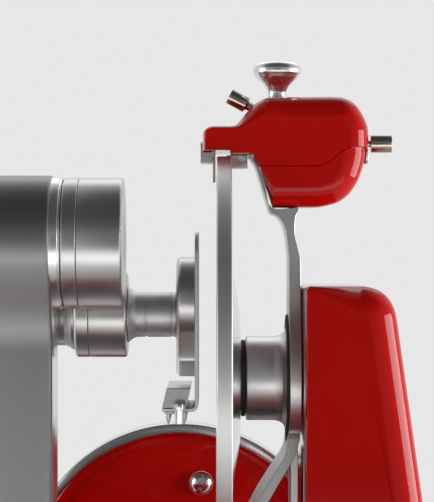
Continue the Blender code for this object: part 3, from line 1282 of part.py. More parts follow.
def make_saddle(saddle):
    """The nut block that rides the feed screw and the guide rod, and its web up through the slot."""
    left = SADDLE_X - SADDLE_LENGTH / 2
    right = SADDLE_X + SADDLE_LENGTH / 2
    top = FRAME_TOP_Z - GAP
    outline = rectangle(left, right, SADDLE_FRONT_Y, SADDLE_FRONT_Y + SADDLE_DEPTH)
    block = prism("press_saddle", outline, "Z", top - SADDLE_HEIGHT, top)
    web_half = SLOT_WIDTH / 2 - RUNNING_GAP
    web_outline = rectangle(SADDLE_X - SADDLE_WEB_LENGTH / 2, SADDLE_X + SADDLE_WEB_LENGTH / 2,
                            COLUMN_Y - web_half, COLUMN_Y + web_half)
    web = prism("saddle_web", web_outline, "Z", top - OVERRUN, TABLE_TOP_Z + GAP)
    joined(block, web)
    bores = [rod("saddle_bore", left - OVERRUN, right + OVERRUN, radius + RUNNING_GAP, AXES["X"],
                 (0, y, SCREW_Z))
             for y, radius in ((SCREW_Y, SCREW_RADIUS), (GUIDE_Y, GUIDE_RADIUS))]
    keep(cut(block, *bores), saddle, "bronze")


# Meat press


def make_column(saddle):
    """The press column: straight below, with a large round head on the lift axis."""
    bottom = TABLE_TOP_Z + GAP + GAP
    head = (COLUMN_Y, LIFT_AXIS_Z)
    outline = [(COLUMN_Y - COLUMN_HALF_WIDTH, bottom),
               (COLUMN_Y - COLUMN_HALF_WIDTH, LIFT_AXIS_Z - COLUMN_SHOULDER_DROP)]
    outline += arc(head, COLUMN_HEAD_RADIUS, math.pi + COLUMN_HEAD_SPREAD, -COLUMN_HEAD_SPREAD, ROUND_STEPS)
    outline += [(COLUMN_Y + COLUMN_HALF_WIDTH, LIFT_AXIS_Z - COLUMN_SHOULDER_DROP),
                (COLUMN_Y + COLUMN_HALF_WIDTH, bottom)]
    left = COLUMN_RIGHT_X - COLUMN_THICKNESS
    column = prism("press_column", outline, "X", left, COLUMN_RIGHT_X)
    softened(column, COLUMN_EDGE, 2, lambda edge: abs(edge.verts[0].co.x - edge.verts[1].co.x) < MERGE)
    face_x = COLUMN_RIGHT_X + SPACER_LENGTH
    face = rod("column_face", COLUMN_RIGHT_X - COLUMN_EDGE, face_x, COLUMN_FACE_RADIUS, AXES["X"],
               (0, COLUMN_Y, LIFT_AXIS_Z), WIDE_STEPS)
    joined(column, face)
    bore = rod("pivot_bore", left - OVERRUN, face_x + OVERRUN, PIVOT_RADIUS + GAP, AXES["X"],
               (0, COLUMN_Y, LIFT_AXIS_Z), ROUND_STEPS)
    keep(cut(column, bore), saddle, "brushed_steel")


def make_pivot(saddle):
    place = (0, COLUMN_Y, LIFT_AXIS_Z)
    left = COLUMN_RIGHT_X - COLUMN_THICKNESS - GAP
    end = LINK_RIGHT_X - LINK_WALL - RUNNING_GAP
    outline = (
        (left - PIVOT_HEAD_LENGTH, 0),
        (left - PIVOT_HEAD_LENGTH, PIVOT_HEAD_RADIUS * 0.85),
        (left - PIVOT_HEAD_LENGTH * 0.6, PIVOT_HEAD_RADIUS),
        (left, PIVOT_HEAD_RADIUS),
        (left, PIVOT_RADIUS),
        (end, PIVOT_RADIUS),
        (end, 0),
    )
    keep(turned("pivot_pin", outline, AXES["X"], place, ROUND_STEPS), saddle, "polished_steel")


def link_web_outline():
    """The web between drum and sleeve, in Y and Z, starting clear of both bores."""
    drum = Vector((COLUMN_Y, LIFT_AXIS_Z))
    sleeve = Vector((0, TILT_AXIS_Z))
    along = (sleeve - drum).normalized()
    across = Vector((-along.y, along.x))
    start = drum + along * (PIVOT_RADIUS + LINK_DRUM_RADIUS) / 2
    end = sleeve - along * (SPINDLE_BORE_RADIUS + SPINDLE_SLEEVE_RADIUS) / 2
    corners = (start + across * LINK_WEB_DRUM_HALF, end + across * LINK_WEB_SLEEVE_HALF,
               end - across * LINK_WEB_SLEEVE_HALF, start - across * LINK_WEB_DRUM_HALF)
    return [tuple(corner) for corner in corners]


def make_link(link):
    """The press link: a big drum on the lift axis and a smaller sleeve for the gripper's spindle."""
    lift = (0, COLUMN_Y, LIFT_AXIS_Z)
    tilt = (0, 0, TILT_AXIS_Z)
    bore = PIVOT_RADIUS + RUNNING_GAP
    wall_x = LINK_RIGHT_X - LINK_WALL
    drum_outline = (
        (wall_x, 0),
        (wall_x, bore),
        (LINK_LEFT_X, bore),
        (LINK_LEFT_X, LINK_DRUM_RADIUS),
        (LINK_RIGHT_X - LINK_ROUND, LINK_DRUM_RADIUS),
        (LINK_RIGHT_X, LINK_DRUM_RADIUS - LINK_ROUND),
        (LINK_RIGHT_X, 0),
    )
    drum = turned("press_link", drum_outline, AXES["X"], lift, WIDE_STEPS)
    sleeve_outline = (
        (SLEEVE_LEFT_X, SPINDLE_BORE_RADIUS),
        (SLEEVE_LEFT_X, SPINDLE_SLEEVE_RADIUS),
        (SPINDLE_SLEEVE_RIGHT_X - LINK_ROUND, SPINDLE_SLEEVE_RADIUS),
        (SPINDLE_SLEEVE_RIGHT_X, SPINDLE_SLEEVE_RADIUS - LINK_ROUND),
        (SPINDLE_SLEEVE_RIGHT_X, SPINDLE_BORE_RADIUS),
    )
    sleeve = turned("link_sleeve", sleeve_outline, AXES["X"], tilt, WIDE_STEPS, closed=True)
    web = prism("link_web", link_web_outline(), "X", LINK_WEB_LEFT_X, LINK_WEB_LEFT_X + LINK_WEB_LENGTH)
    keep(joined(drum, sleeve, web), link, "brushed_steel")
    cap_outline = (
        (LINK_CAP_LEFT_X, bore),
        (LINK_CAP_LEFT_X, LINK_DRUM_RADIUS - LINK_ROUND),
        (LINK_CAP_LEFT_X + LINK_ROUND, LINK_DRUM_RADIUS),
        (LINK_CAP_LEFT_X + LINK_CAP_LENGTH, LINK_DRUM_RADIUS),
        (LINK_CAP_LEFT_X + LINK_CAP_LENGTH, bore),
    )
    cap = turned("link_cap", cap_outline, AXES["X"], lift, WIDE_STEPS, closed=True)
    keep(cap, link, "brushed_steel")
    end_outline = (
        (SPINDLE_CAP_LEFT_X, SPINDLE_BORE_RADIUS),
        (SPINDLE_CAP_LEFT_X, SPINDLE_SLEEVE_RADIUS - LINK_ROUND),
        (SPINDLE_CAP_LEFT_X + LINK_ROUND, SPINDLE_SLEEVE_RADIUS),
        (SPINDLE_CAP_LEFT_X + SPINDLE_CAP_LENGTH, SPINDLE_SLEEVE_RADIUS),
        (SPINDLE_CAP_LEFT_X + SPINDLE_CAP_LENGTH, SPINDLE_BORE_RADIUS),
    )
    end_cap = turned("spindle_cap", end_outline, AXES["X"], tilt, WIDE_STEPS, closed=True)
    keep(end_cap, link, "brushed_steel")


def make_gripper_shaft(gripper):
    """The spindle through the link: a thick shaft to the boss, a bearing length and a threaded stub."""
    place = (0, 0, TILT_AXIS_Z)
    collar_x = SPINDLE_SLEEVE_RIGHT_X + GAP
    neck_x = collar_x + GRIPPER_COLLAR_LENGTH
    bearing_radius = SPINDLE_BORE_RADIUS - RUNNING_GAP
    stub_x = SPINDLE_CAP_LEFT_X - GAP
    spread = GRIPPER_COLLAR_RADIUS - GRIPPER_SHAFT_RADIUS
    outline = (
        (stub_x - GRIPPER_STUB_LENGTH, 0),
        (stub_x - GRIPPER_STUB_LENGTH, GRIPPER_STUB_RADIUS),
        (stub_x, GRIPPER_STUB_RADIUS),
        (stub_x, bearing_radius),
        (collar_x, bearing_radius),
        (collar_x, GRIPPER_COLLAR_RADIUS),
        (collar_x + GRIPPER_COLLAR_LENGTH * 0.35, GRIPPER_SHAFT_RADIUS + spread * 0.35),
        (neck_x, GRIPPER_SHAFT_RADIUS),
        (BOSS_LEFT_X - GAP, GRIPPER_SHAFT_RADIUS),
        (BOSS_LEFT_X - GAP, 0),
    )
    keep(turned("gripper_spindle", outline, AXES["X"], place, ROUND_STEPS), gripper, "brushed_steel")
    knob_right = stub_x - GAP
    knob_left = knob_right - LOCK_KNOB_LENGTH
    bore = GRIPPER_STUB_RADIUS + GAP
    knob_outline = (
        (knob_left, 0),
        (knob_left, LOCK_KNOB_RADIUS * 0.82),
        (knob_left + LOCK_KNOB_LENGTH * 0.10, LOCK_KNOB_RADIUS),
        (knob_right - LOCK_KNOB_LENGTH * 0.16, LOCK_KNOB_RADIUS),
        (knob_right - LOCK_KNOB_LENGTH * 0.05, LOCK_KNOB_FLARE_RADIUS * 0.96),
        (knob_right, LOCK_KNOB_FLARE_RADIUS),
        (knob_right, bore),
        (stub_x - GRIPPER_STUB_LENGTH - GAP, bore),
        (stub_x - GRIPPER_STUB_LENGTH - GAP, 0),
    )
    keep(turned("lock_knob", knob_outline, AXES["X"], place), gripper, "brushed_steel")


def make_gripper_boss(gripper):
    """The cast boss behind the gripper plate, round above with a post that runs down the plate."""
    centre = (0, BOSS_CENTRE_Z)
    round_part = arc(centre, BOSS_RADIUS, -BOSS_ROUND_DROP, math.pi + BOSS_ROUND_DROP, ROUND_STEPS)
    shoulder_z = BOSS_CENTRE_Z - BOSS_RADIUS
    post = [(-BOSS_POST_HALF_WIDTH, shoulder_z), (-BOSS_POST_HALF_WIDTH, BOSS_POST_BOTTOM_Z),
            (BOSS_POST_HALF_WIDTH, BOSS_POST_BOTTOM_Z), (BOSS_POST_HALF_WIDTH, shoulder_z)]
    boss = prism("gripper_boss", round_part + post, "X", BOSS_LEFT_X, BOSS_LEFT_X + BOSS_THICKNESS)
    near = BOSS_LEFT_X + MERGE
    softened(boss, BOSS_EDGE, 3, lambda edge: edge.verts[0].co.x < near and edge.verts[1].co.x < near)
    keep(boss, gripper, "brushed_steel")


def make_gripper_plate(gripper):
    """One bent sheet: the upright plate that pushes the meat and the leg that lies over it."""
    leg_bottom = GRIPPER_LEG_Z
    leg_top = leg_bottom + GRIPPER_PLATE_THICKNESS
    outer = GRIPPER_BEND
    inner = GRIPPER_BEND - GRIPPER_PLATE_THICKNESS
    bend = (PLATE_RIGHT_X - outer, leg_bottom + outer)
    outline = [(PLATE_LEFT_X, GRIPPER_PLATE_TOP_Z)]
    outline += arc(bend, inner, 0, -math.pi / 2, CORNER_STEPS)
    outline += [(GRIPPER_LEG_LEFT_X, leg_top), (GRIPPER_LEG_LEFT_X, leg_bottom)]
    outline += arc(bend, outer, -math.pi / 2, 0, CORNER_STEPS)
    outline += [(PLATE_RIGHT_X, GRIPPER_PLATE_TOP_Z)]
    half = GRIPPER_PLATE_WIDTH / 2
    plate = prism("gripper_plate", outline, "Y", -half, half)

    def at_a_top_corner(edge):
        ends = [vert.co for vert in edge.verts]
        along_x = abs(ends[0].x - ends[1].x) > GRIPPER_PLATE_THICKNESS / 2
        return along_x and min(end.z for end in ends) > GRIPPER_PLATE_TOP_Z - MERGE

    softened(plate, GRIPPER_PLATE_CORNER, 5, at_a_top_corner)
    keep(plate, gripper, "brushed_steel")


def make_claw(gripper):
    """The slanted block that stiffens the leg, the strip of spikes under it and the stop pin."""
    half = GRIPPER_PLATE_WIDTH / 2
    bottom = GRIPPER_LEG_Z + GRIPPER_PLATE_THICKNESS + GAP
    right = PLATE_LEFT_X - GAP - GRIPPER_PLATE_THICKNESS
    left = right - CLAW_TOP_LENGTH
    outline = [(left, bottom + CLAW_HEIGHT), (left - CLAW_SLANT, bottom), (right - CLAW_SLANT, bottom),
               (right, bottom + CLAW_HEIGHT)]
    keep(prism("claw_block", outline, "Y", -half - GAP, half), gripper, "brushed_steel")
    top = GRIPPER_LEG_Z - GAP
    strip_left = GRIPPER_LEG_LEFT_X + SPIKE_RADIUS
    strip_right = strip_left + SPIKE_STRIP_LENGTH
    strip_outline = rectangle(strip_left, strip_right, -half + SPIKE_RADIUS, half - SPIKE_RADIUS)
    strip = prism("gripper_spikes", strip_outline, "Z", top - SPIKE_STRIP_THICKNESS, top)
    spikes = []
    spread = half - 3 * SPIKE_RADIUS
    cone = ((top - SPIKE_STRIP_THICKNESS - SPIKE_LENGTH, 0),
            (top - SPIKE_STRIP_THICKNESS - SPIKE_LENGTH * 0.55, SPIKE_RADIUS),
            (top - SPIKE_STRIP_THICKNESS / 2, SPIKE_RADIUS), (top - SPIKE_STRIP_THICKNESS / 2, 0))
    for row in range(SPIKE_ROWS):
        y = -spread + 2 * spread * row / (SPIKE_ROWS - 1)
        for x in (strip_left + 1.5 * SPIKE_RADIUS, strip_right - 1.5 * SPIKE_RADIUS):
            spikes.append(turned("spike", cone, AXES["Z"], (x, y, 0), TINY_STEPS))
    keep(joined(strip, *spikes), gripper, "dark_steel")
    pin_top = bottom + STOP_PIN_HEAD_RADIUS
    head_bottom = pin_top - STOP_PIN_HEAD_RADIUS * 1.2
    pin_y = -half - GAP - GAP - STOP_PIN_HEAD_RADIUS
    pin_outline = (
        (pin_top, 0),
        (pin_top, STOP_PIN_HEAD_RADIUS * 0.85),
        (head_bottom, STOP_PIN_HEAD_RADIUS),
        (head_bottom, STOP_PIN_RADIUS),
        (pin_top - STOP_PIN_LENGTH, STOP_PIN_RADIUS),
        (pin_top - STOP_PIN_LENGTH, 0),
    )
    pin = turned("stop_pin", pin_outline, AXES["Z"], (STOP_PIN_X, pin_y, 0), SMALL_STEPS)
    keep(pin, gripper, "brushed_steel")


# Gauge plate


def make_gauge_plate(gauge):
    """The plate that the meat slides along, cut round the knife, on a stem to its slide block."""
    lowest = math.asin(GAUGE_BOTTOM_Z / GAUGE_CUT_RADIUS)
    highest = math.asin(GAUGE_TOP_Z / GAUGE_CUT_RADIUS)
    outline = arc((0, 0), GAUGE_CUT_RADIUS, lowest, highest, GAUGE_ARC_STEPS)
    outline += [(GAUGE_FAR_Y, GAUGE_TOP_Z), (GAUGE_FAR_Y, GAUGE_BOTTOM_Z)]
    plate = prism("gauge_plate", outline, "X", GAUGE_FACE_X, GAUGE_FACE_X + GAUGE_THICKNESS)
    stem_outline = rectangle(GAUGE_STEM_Y - GAUGE_STEM_HALF_WIDTH, GAUGE_STEM_Y + GAUGE_STEM_HALF_WIDTH,
                             GAUGE_BLOCK_BOTTOM_Z, GAUGE_BOTTOM_Z + OVERRUN)
    stem = prism("gauge_stem", stem_outline, "X", GAUGE_FACE_X, GAUGE_FACE_X + GAUGE_THICKNESS)
    start = GAUGE_FACE_X + GAUGE_THICKNESS / 2
    end = GAUGE_FACE_X + GAUGE_THICKNESS + GAUGE_BLOCK_LENGTH
    block_outline = rectangle(start, end, GAUGE_STEM_Y - GAUGE_STEM_HALF_WIDTH,
                              GAUGE_STEM_Y + GAUGE_STEM_HALF_WIDTH)
    block = prism("gauge_slide", block_outline, "Z", GAUGE_BLOCK_BOTTOM_Z,
                  GAUGE_BLOCK_BOTTOM_Z + GAUGE_BLOCK_HEIGHT)
    joined(plate, stem, block)
    bore = rod("gauge_bore", GAUGE_BORE_X, end + OVERRUN, GAUGE_SCREW_RADIUS + RUNNING_GAP,
               AXES["X"], (0, GAUGE_STEM_Y, GAUGE_SCREW_Z))
    keep(cut(plate, bore), gauge, "polished_steel")


def gauge_lugs():
    """The guide and the screw's stand, cast on the base behind the knife, and the stand's bore."""
    start = GAUGE_FACE_X + GAUGE_THICKNESS + GAP
    length = GAUGE_BLOCK_LENGTH + 2 * GAUGE_TRAVEL
    bottom = BASE_TOP_Z - BASE_WALL / 2
    half = GAUGE_STEM_HALF_WIDTH
    guide_outline = rectangle(start, start + length, GAUGE_STEM_Y - half, GAUGE_STEM_Y + half)
    guide = prism("gauge_guide", guide_outline, "Z", bottom, BASE_TOP_Z + GAUGE_GUIDE_HEIGHT)
    end = GAUGE_STAND_X + GAUGE_STAND_LENGTH
    top = GAUGE_SCREW_Z + GAUGE_BLOCK_HEIGHT * 0.6
    corners = [(GAUGE_STEM_Y - half, bottom), (GAUGE_STEM_Y + half, bottom), (GAUGE_STEM_Y + half, top),
               (GAUGE_STEM_Y - half, top)]
    outline = rounded(corners, [0, 0, half * 0.6, half * 0.6])
    stand = prism("gauge_stand", outline, "X", GAUGE_STAND_X, end)
    bore = rod("stand_bore", GAUGE_STAND_X - OVERRUN, end + OVERRUN, GAUGE_SCREW_RADIUS + RUNNING_GAP,
               AXES["X"], (0, GAUGE_STEM_Y, GAUGE_SCREW_Z))
    return [guide, stand], [bore]


def make_gauge_screw(knob_body):
    start = GAUGE_BORE_X + GAUGE_TRAVEL + GAUGE_SCREW_SPARE
    place = (0, GAUGE_STEM_Y, GAUGE_SCREW_Z)
    screw = rod("gauge_screw", start, BASE_RIGHT_X, GAUGE_SCREW_RADIUS, AXES["X"], place)
    keep(screw, knob_body, "polished_steel")
    knob_start = BASE_RIGHT_X + GAP
    outline = (
        (knob_start, 0),
        (knob_start, KNOB_RADIUS * 0.95),
        (knob_start + KNOB_LENGTH * 0.12, KNOB_RADIUS),
        (knob_start + KNOB_LENGTH * 0.80, KNOB_RADIUS * 0.92),
        (knob_start + KNOB_LENGTH, KNOB_RADIUS * 0.78),
        (knob_start + KNOB_LENGTH, 0),
    )
    keep(turned("gauge_knob", outline, AXES["X"], place, ROUND_STEPS), knob_body, "black_grip")


def make_slice_tray(root):
    """A folded sheet with a flange down each side, standing on the base beside the knife."""
    right = TRAY_LEFT_X + TRAY_LENGTH
    bottom = BASE_TOP_Z + GAP
    top = bottom + TRAY_HEIGHT
    wall = TRAY_THICKNESS
    outer = rounded([(TRAY_LEFT_X, bottom), (right, bottom), (right, top), (TRAY_LEFT_X, top)],
                    [0, 0, 2 * wall, 2 * wall], 3)
    inner = [(TRAY_LEFT_X + wall, bottom - OVERRUN), (right - wall, bottom - OVERRUN),
             (right - wall, top - wall), (TRAY_LEFT_X + wall, top - wall)]
    tray = prism("slice_tray", outer, "Y", TRAY_NEAR_Y, TRAY_NEAR_Y + TRAY_DEPTH)
    hollow = prism("tray_hollow", rounded(inner, [0, 0, wall, wall], 3), "Y", TRAY_NEAR_Y - OVERRUN,
                   TRAY_NEAR_Y + TRAY_DEPTH + OVERRUN)
    keep(cut(tray, hollow), root, "polished_steel")


# Sharpener


def side_edges_above(lowest):
    """A test that picks the edges round a casting's two sides, down to a height."""
    def picked(edge):
        flat = abs(edge.verts[0].co.y - edge.verts[1].co.y) < MERGE
        return flat and min(vert.co.z for vert in edge.verts) > lowest
    return picked


def make_sharpener_cover(root):
    outline = scaled_outline(COVER_SHARES, COVER_LEFT_X, COVER_LENGTH, COVER_BOTTOM_Z, COVER_HEIGHT)
    cover = prism("sharpener_cover", outline, "Y", -COVER_DEPTH / 2, COVER_DEPTH / 2)
    crest = COVER_BOTTOM_Z + COVER_HEIGHT * COVER_SHARES[0][1] - MERGE
    softened(cover, COVER_EDGE, 3, side_edges_above(crest))
    stud_bore = rod("stud_bore", COVER_TOP_Z - MUSHROOM_STUD_LENGTH - PLUNGER_DEPTH_SPARE,
                    COVER_TOP_Z + OVERRUN, MUSHROOM_STUD_RADIUS + RUNNING_GAP, AXES["Z"],
                    (MUSHROOM_X, 0, 0))
    right_bore = rod("right_bore", COVER_RIGHT_X - RIGHT_ROD_LENGTH - PLUNGER_DEPTH_SPARE,
                     COVER_RIGHT_X + OVERRUN, RIGHT_ROD_RADIUS + RUNNING_GAP, AXES["X"],
                     (0, 0, RIGHT_KNOB_Z))
    left_bore = rod("left_bore", -LEFT_ROD_LENGTH - PLUNGER_DEPTH_SPARE, LEFT_KNOB_LENGTH,
                    LEFT_ROD_RADIUS + RUNNING_GAP, left_knob_axis(), LEFT_KNOB_PLACE)
    slot_half = HONING_STONE_RADIUS + STONE_CLEARANCE
    slot_left = HONING_STONE_X - STONE_CLEARANCE
    slot_right = HONING_STONE_X + HONING_STONE_THICKNESS + STONE_CLEARANCE
    slot_outline = rectangle(slot_left, slot_right, NOSE_BOTTOM_Z - OVERRUN, HONING_Z + slot_half)
    stone_slot = prism("stone_slot", slot_outline, "Y", -slot_half, slot_half)
    keep(cut(cover, stud_bore, right_bore, left_bore, stone_slot), root, "red_enamel")


def make_sharpener_lower(root):
    outline = scaled_outline(LOWER_SHARES, LOWER_LEFT_X, LOWER_LENGTH, LOWER_BOTTOM_Z, LOWER_HEIGHT)
    lower = prism("sharpener_housing", outline, "Y", -LOWER_DEPTH / 2, LOWER_DEPTH / 2)
    top = LOWER_BOTTOM_Z + LOWER_HEIGHT

    def below_the_parting(edge):
        flat = abs(edge.verts[0].co.y - edge.verts[1].co.y) < MERGE
        ends = [vert.co for vert in edge.verts]
        on_right = min(end.x for end in ends) > LOWER_LEFT_X + MERGE
        return flat and on_right and max(end.z for end in ends) < top - MERGE

    softened(lower, LOWER_EDGE, 3, below_the_parting)
    keep(lower, root, "red_enamel")


def make_mushroom_knob(body):
    start = COVER_TOP_Z + GAP
    head = [(start + MUSHROOM_HEIGHT * up, MUSHROOM_RADIUS * out) for up, out in MUSHROOM_SHARES]
    outline = [(start - MUSHROOM_STUD_LENGTH, 0), (start - MUSHROOM_STUD_LENGTH, MUSHROOM_STUD_RADIUS),
               (start, MUSHROOM_STUD_RADIUS)] + head + [(start + MUSHROOM_HEIGHT, 0)]
    knob = turned("mushroom_knob", outline, AXES["Z"], (MUSHROOM_X, 0, 0), ROUND_STEPS)
    keep(knob, body, "polished_steel")


def left_knob_axis():
    """Out of the cover, up and to the left."""
    return Vector((-math.cos(LEFT_KNOB_TILT), 0, math.sin(LEFT_KNOB_TILT)))


def make_plungers(right, left):
    knob_x = COVER_RIGHT_X + KNOB_STANDOFF
    right_outline = (
        (COVER_RIGHT_X - RIGHT_ROD_LENGTH, 0),
        (COVER_RIGHT_X - RIGHT_ROD_LENGTH, RIGHT_ROD_RADIUS),
        (knob_x, RIGHT_ROD_RADIUS),
        (knob_x, RIGHT_KNOB_RADIUS),
        (knob_x + RIGHT_KNOB_LENGTH * 0.95, RIGHT_KNOB_RADIUS),
        (knob_x + RIGHT_KNOB_LENGTH, RIGHT_KNOB_RADIUS * 0.90),
        (knob_x + RIGHT_KNOB_LENGTH, 0),
    )
    keep(turned("grinding_plunger", right_outline, AXES["X"], (0, 0, RIGHT_KNOB_Z), SMALL_STEPS), right,
         "brushed_steel")
    knob_start = LEFT_KNOB_STANDOFF
    knob_end = knob_start + LEFT_KNOB_LENGTH
    left_outline = (
        (-LEFT_ROD_LENGTH, 0),
        (-LEFT_ROD_LENGTH, LEFT_ROD_RADIUS),
        (knob_start - LEFT_COLLAR_LENGTH * 0.4, LEFT_ROD_RADIUS),
        (knob_start, LEFT_COLLAR_RADIUS),
        (knob_start, LEFT_KNOB_RADIUS),
        (knob_end - LEFT_KNOB_RADIUS * 0.1, LEFT_KNOB_RADIUS),
        (knob_end, LEFT_KNOB_RADIUS * 0.90),
        (knob_end, 0),
    )
    keep(turned("honing_plunger", left_outline, left_knob_axis(), LEFT_KNOB_PLACE, SMALL_STEPS), left,
         "brushed_steel")


def make_clamp_tab(root):
    """The small rounded catch under the right knob, against the end of the lower housing."""
    start = LOWER_LEFT_X + LOWER_LENGTH + GAP
    half = TAB_DEPTH / 2
    corners = [(-half, TAB_TOP_Z - TAB_HEIGHT), (half, TAB_TOP_Z - TAB_HEIGHT), (half, TAB_TOP_Z),
               (-half, TAB_TOP_Z)]
    outline = rounded(corners, TAB_HEIGHT * 0.35)
    keep(prism("clamp_tab", outline, "X", start, start + TAB_THICKNESS), root, "brushed_steel")


def make_stone_holders(root):
    half = HOLDER_DEPTH / 2
    nose_bottom = NOSE_BOTTOM_Z - GAP
    left = HONING_HOLDER_LEFT_X
    right = left + HONING_HOLDER_LENGTH
    lip = left + HONING_HOLDER_LIP
    honing_outline = [(left, HONING_HOLDER_BOTTOM_Z), (right, HONING_HOLDER_BOTTOM_Z),
                      (right, nose_bottom), (lip, nose_bottom),
                      (lip, HONING_HOLDER_BOTTOM_Z + HONING_HOLDER_LIP_HEIGHT),
                      (left, HONING_HOLDER_BOTTOM_Z + HONING_HOLDER_LIP_HEIGHT)]
    holder = prism("honing_holder", honing_outline, "Y", -half, half)
    pin_bore = rod("honing_pin_bore", right - HONING_HOLDER_LENGTH / 2, right + OVERRUN,
                   STONE_PIN_RADIUS + RUNNING_GAP, AXES["X"], (0, 0, HONING_Z))
    keep(cut(holder, pin_bore), root, "cast_aluminium")
    block_left = GRINDING_HOLDER_RIGHT_X - GRINDING_HOLDER_LENGTH
    arm_left = block_left - GRINDING_ARM_LENGTH
    bottom = GRINDING_HOLDER_TOP_Z - GRINDING_HOLDER_HEIGHT
    grinding_outline = [(arm_left, GRINDING_ARM_BOTTOM_Z), (block_left, GRINDING_ARM_BOTTOM_Z),
                        (block_left, bottom), (GRINDING_HOLDER_RIGHT_X, bottom),
                        (GRINDING_HOLDER_RIGHT_X, GRINDING_HOLDER_TOP_Z), (arm_left, GRINDING_HOLDER_TOP_Z)]
    block = prism("grinding_holder", grinding_outline, "Y", -half / 2, half / 2)
    pocket_left = GRINDING_HOLDER_RIGHT_X - GRINDING_POCKET_LENGTH
    pocket_bottom = GRINDING_HOLDER_TOP_Z - GRINDING_POCKET_HEIGHT - RUNNING_GAP
    corners = [(pocket_left, pocket_bottom), (GRINDING_HOLDER_RIGHT_X + OVERRUN, pocket_bottom),
               (GRINDING_HOLDER_RIGHT_X + OVERRUN, GRINDING_HOLDER_TOP_Z - RUNNING_GAP),
               (pocket_left, GRINDING_HOLDER_TOP_Z - RUNNING_GAP)]
    pocket = prism("grinding_pocket", rounded(corners, [GRINDING_POCKET_HEIGHT / 3, 0, 0, 0]), "Y",
                   -half, 0)
    bore = rod("grinding_pin_bore", arm_left - OVERRUN, block_left - GRINDING_ARM_LENGTH / 4,
               STONE_PIN_RADIUS + RUNNING_GAP, AXES["X"], (0, 0, GRINDING_STONE_Z))
    keep(cut(block, pocket, bore), root, "cast_aluminium")


def make_stones(honing, grinding):
    holder_right = HONING_HOLDER_LEFT_X + HONING_HOLDER_LENGTH
    disc_start = HONING_STONE_X
    disc_end = disc_start + HONING_STONE_THICKNESS
    honing_outline = (
        (holder_right - HONING_HOLDER_LENGTH / 2 + RUNNING_GAP, 0),
        (holder_right - HONING_HOLDER_LENGTH / 2 + RUNNING_GAP, STONE_PIN_RADIUS),
        (disc_start, STONE_PIN_RADIUS),
        (disc_start, HONING_STONE_RADIUS),
        (disc_end, HONING_STONE_RADIUS * 0.92),
        (disc_end, 0),
    )
    keep(turned("honing_stone", honing_outline, AXES["X"], (0, 0, HONING_Z), ROUND_STEPS), honing,
         "grinding_stone")
    arm_left = GRINDING_HOLDER_RIGHT_X - GRINDING_HOLDER_LENGTH - GRINDING_ARM_LENGTH
    grinding_outline = (
        (GRINDING_STONE_X, 0),
        (GRINDING_STONE_X, GRINDING_STONE_RADIUS * 0.9),
        (GRINDING_STONE_X + GRINDING_STONE_THICKNESS, GRINDING_STONE_RADIUS),
        (GRINDING_STONE_X + GRINDING_STONE_THICKNESS, STONE_PIN_RADIUS),
        (arm_left + GRINDING_ARM_LENGTH / 2, STONE_PIN_RADIUS),
        (arm_left + GRINDING_ARM_LENGTH / 2, 0),
    )
    disc = turned("grinding_stone", grinding_outline, AXES["X"], (0, 0, GRINDING_STONE_Z), ROUND_STEPS)
    keep(disc, grinding, "grinding_stone")


def make_groups():
    """The machine and one empty for each moving body, placed on its joint's axis."""
    machine = group("machine", (0, 0, 0), None)
    carriage = group("carriage_slide", (RAIL_LEFT_X + RAIL_SPAN / 2, 0, RAIL_Z), machine)
    saddle = group("press_feed", (COLUMN_RIGHT_X, SCREW_Y, SCREW_Z), carriage)
    link = group("press_lift", (COLUMN_RIGHT_X, COLUMN_Y, LIFT_AXIS_Z), saddle)
    wheel = group("flywheel_turn", (FLYWHEEL_X, FLYWHEEL_NEAR_Y, FLYWHEEL_Z), machine)
    gauge_place = (GAUGE_FACE_X, GAUGE_STEM_Y, GAUGE_SCREW_Z)
    return {
        "root": machine,
        "carriage": carriage,
        "feed": group("feed_turn", (FRAME_LEFT_X, SCREW_Y, SCREW_Z), carriage),
        "saddle": saddle,
        "link": link,
        "gripper": group("gripper_tilt", (BOSS_LEFT_X, 0, TILT_AXIS_Z), link),
        "wheel": wheel,
        "grip": group("grip_turn", (CRANK_X, DISC_FAR_Y, CRANK_Z), wheel),
        "cross": group("cross_turn", (CHAIN_WHEEL_X, 0, DRIVE_Z), machine),
        "knife": group("knife_turn", (0, 0, 0), machine),
        "gauge": group("gauge_slide_move", gauge_place, machine),
        "gauge_knob": group("gauge_turn", (BASE_RIGHT_X, GAUGE_STEM_Y, GAUGE_SCREW_Z), machine),
        "mushroom": group("mushroom_turn", (MUSHROOM_X, 0, COVER_TOP_Z), machine),
        "right_plunger": group("grinding_push", (COVER_RIGHT_X, 0, RIGHT_KNOB_Z), machine),
        "left_plunger": group("honing_push", LEFT_KNOB_PLACE, machine),
        "honing": group("honing_turn", (HONING_STONE_X, 0, HONING_Z), machine),
        "grinding": group("grinding_turn", (GRINDING_STONE_X, 0, GRINDING_STONE_Z), machine),
    }


def centre_on_footprint(machine):
    """Moves the machine so that the origin is the middle of its footprint, at the feet."""
    bpy.context.view_layer.update()
    corners = [thing.matrix_world @ Vector(corner) for thing in bpy.data.objects
               if thing.type == "MESH" for corner in thing.bound_box]
    low = [min(corner[axis] for corner in corners) for axis in range(3)]
    high = [max(corner[axis] for corner in corners) for axis in range(3)]
    machine.location = (-(low[0] + high[0]) / 2, -(low[1] + high[1]) / 2, -low[2])
    bpy.context.view_layer.update()


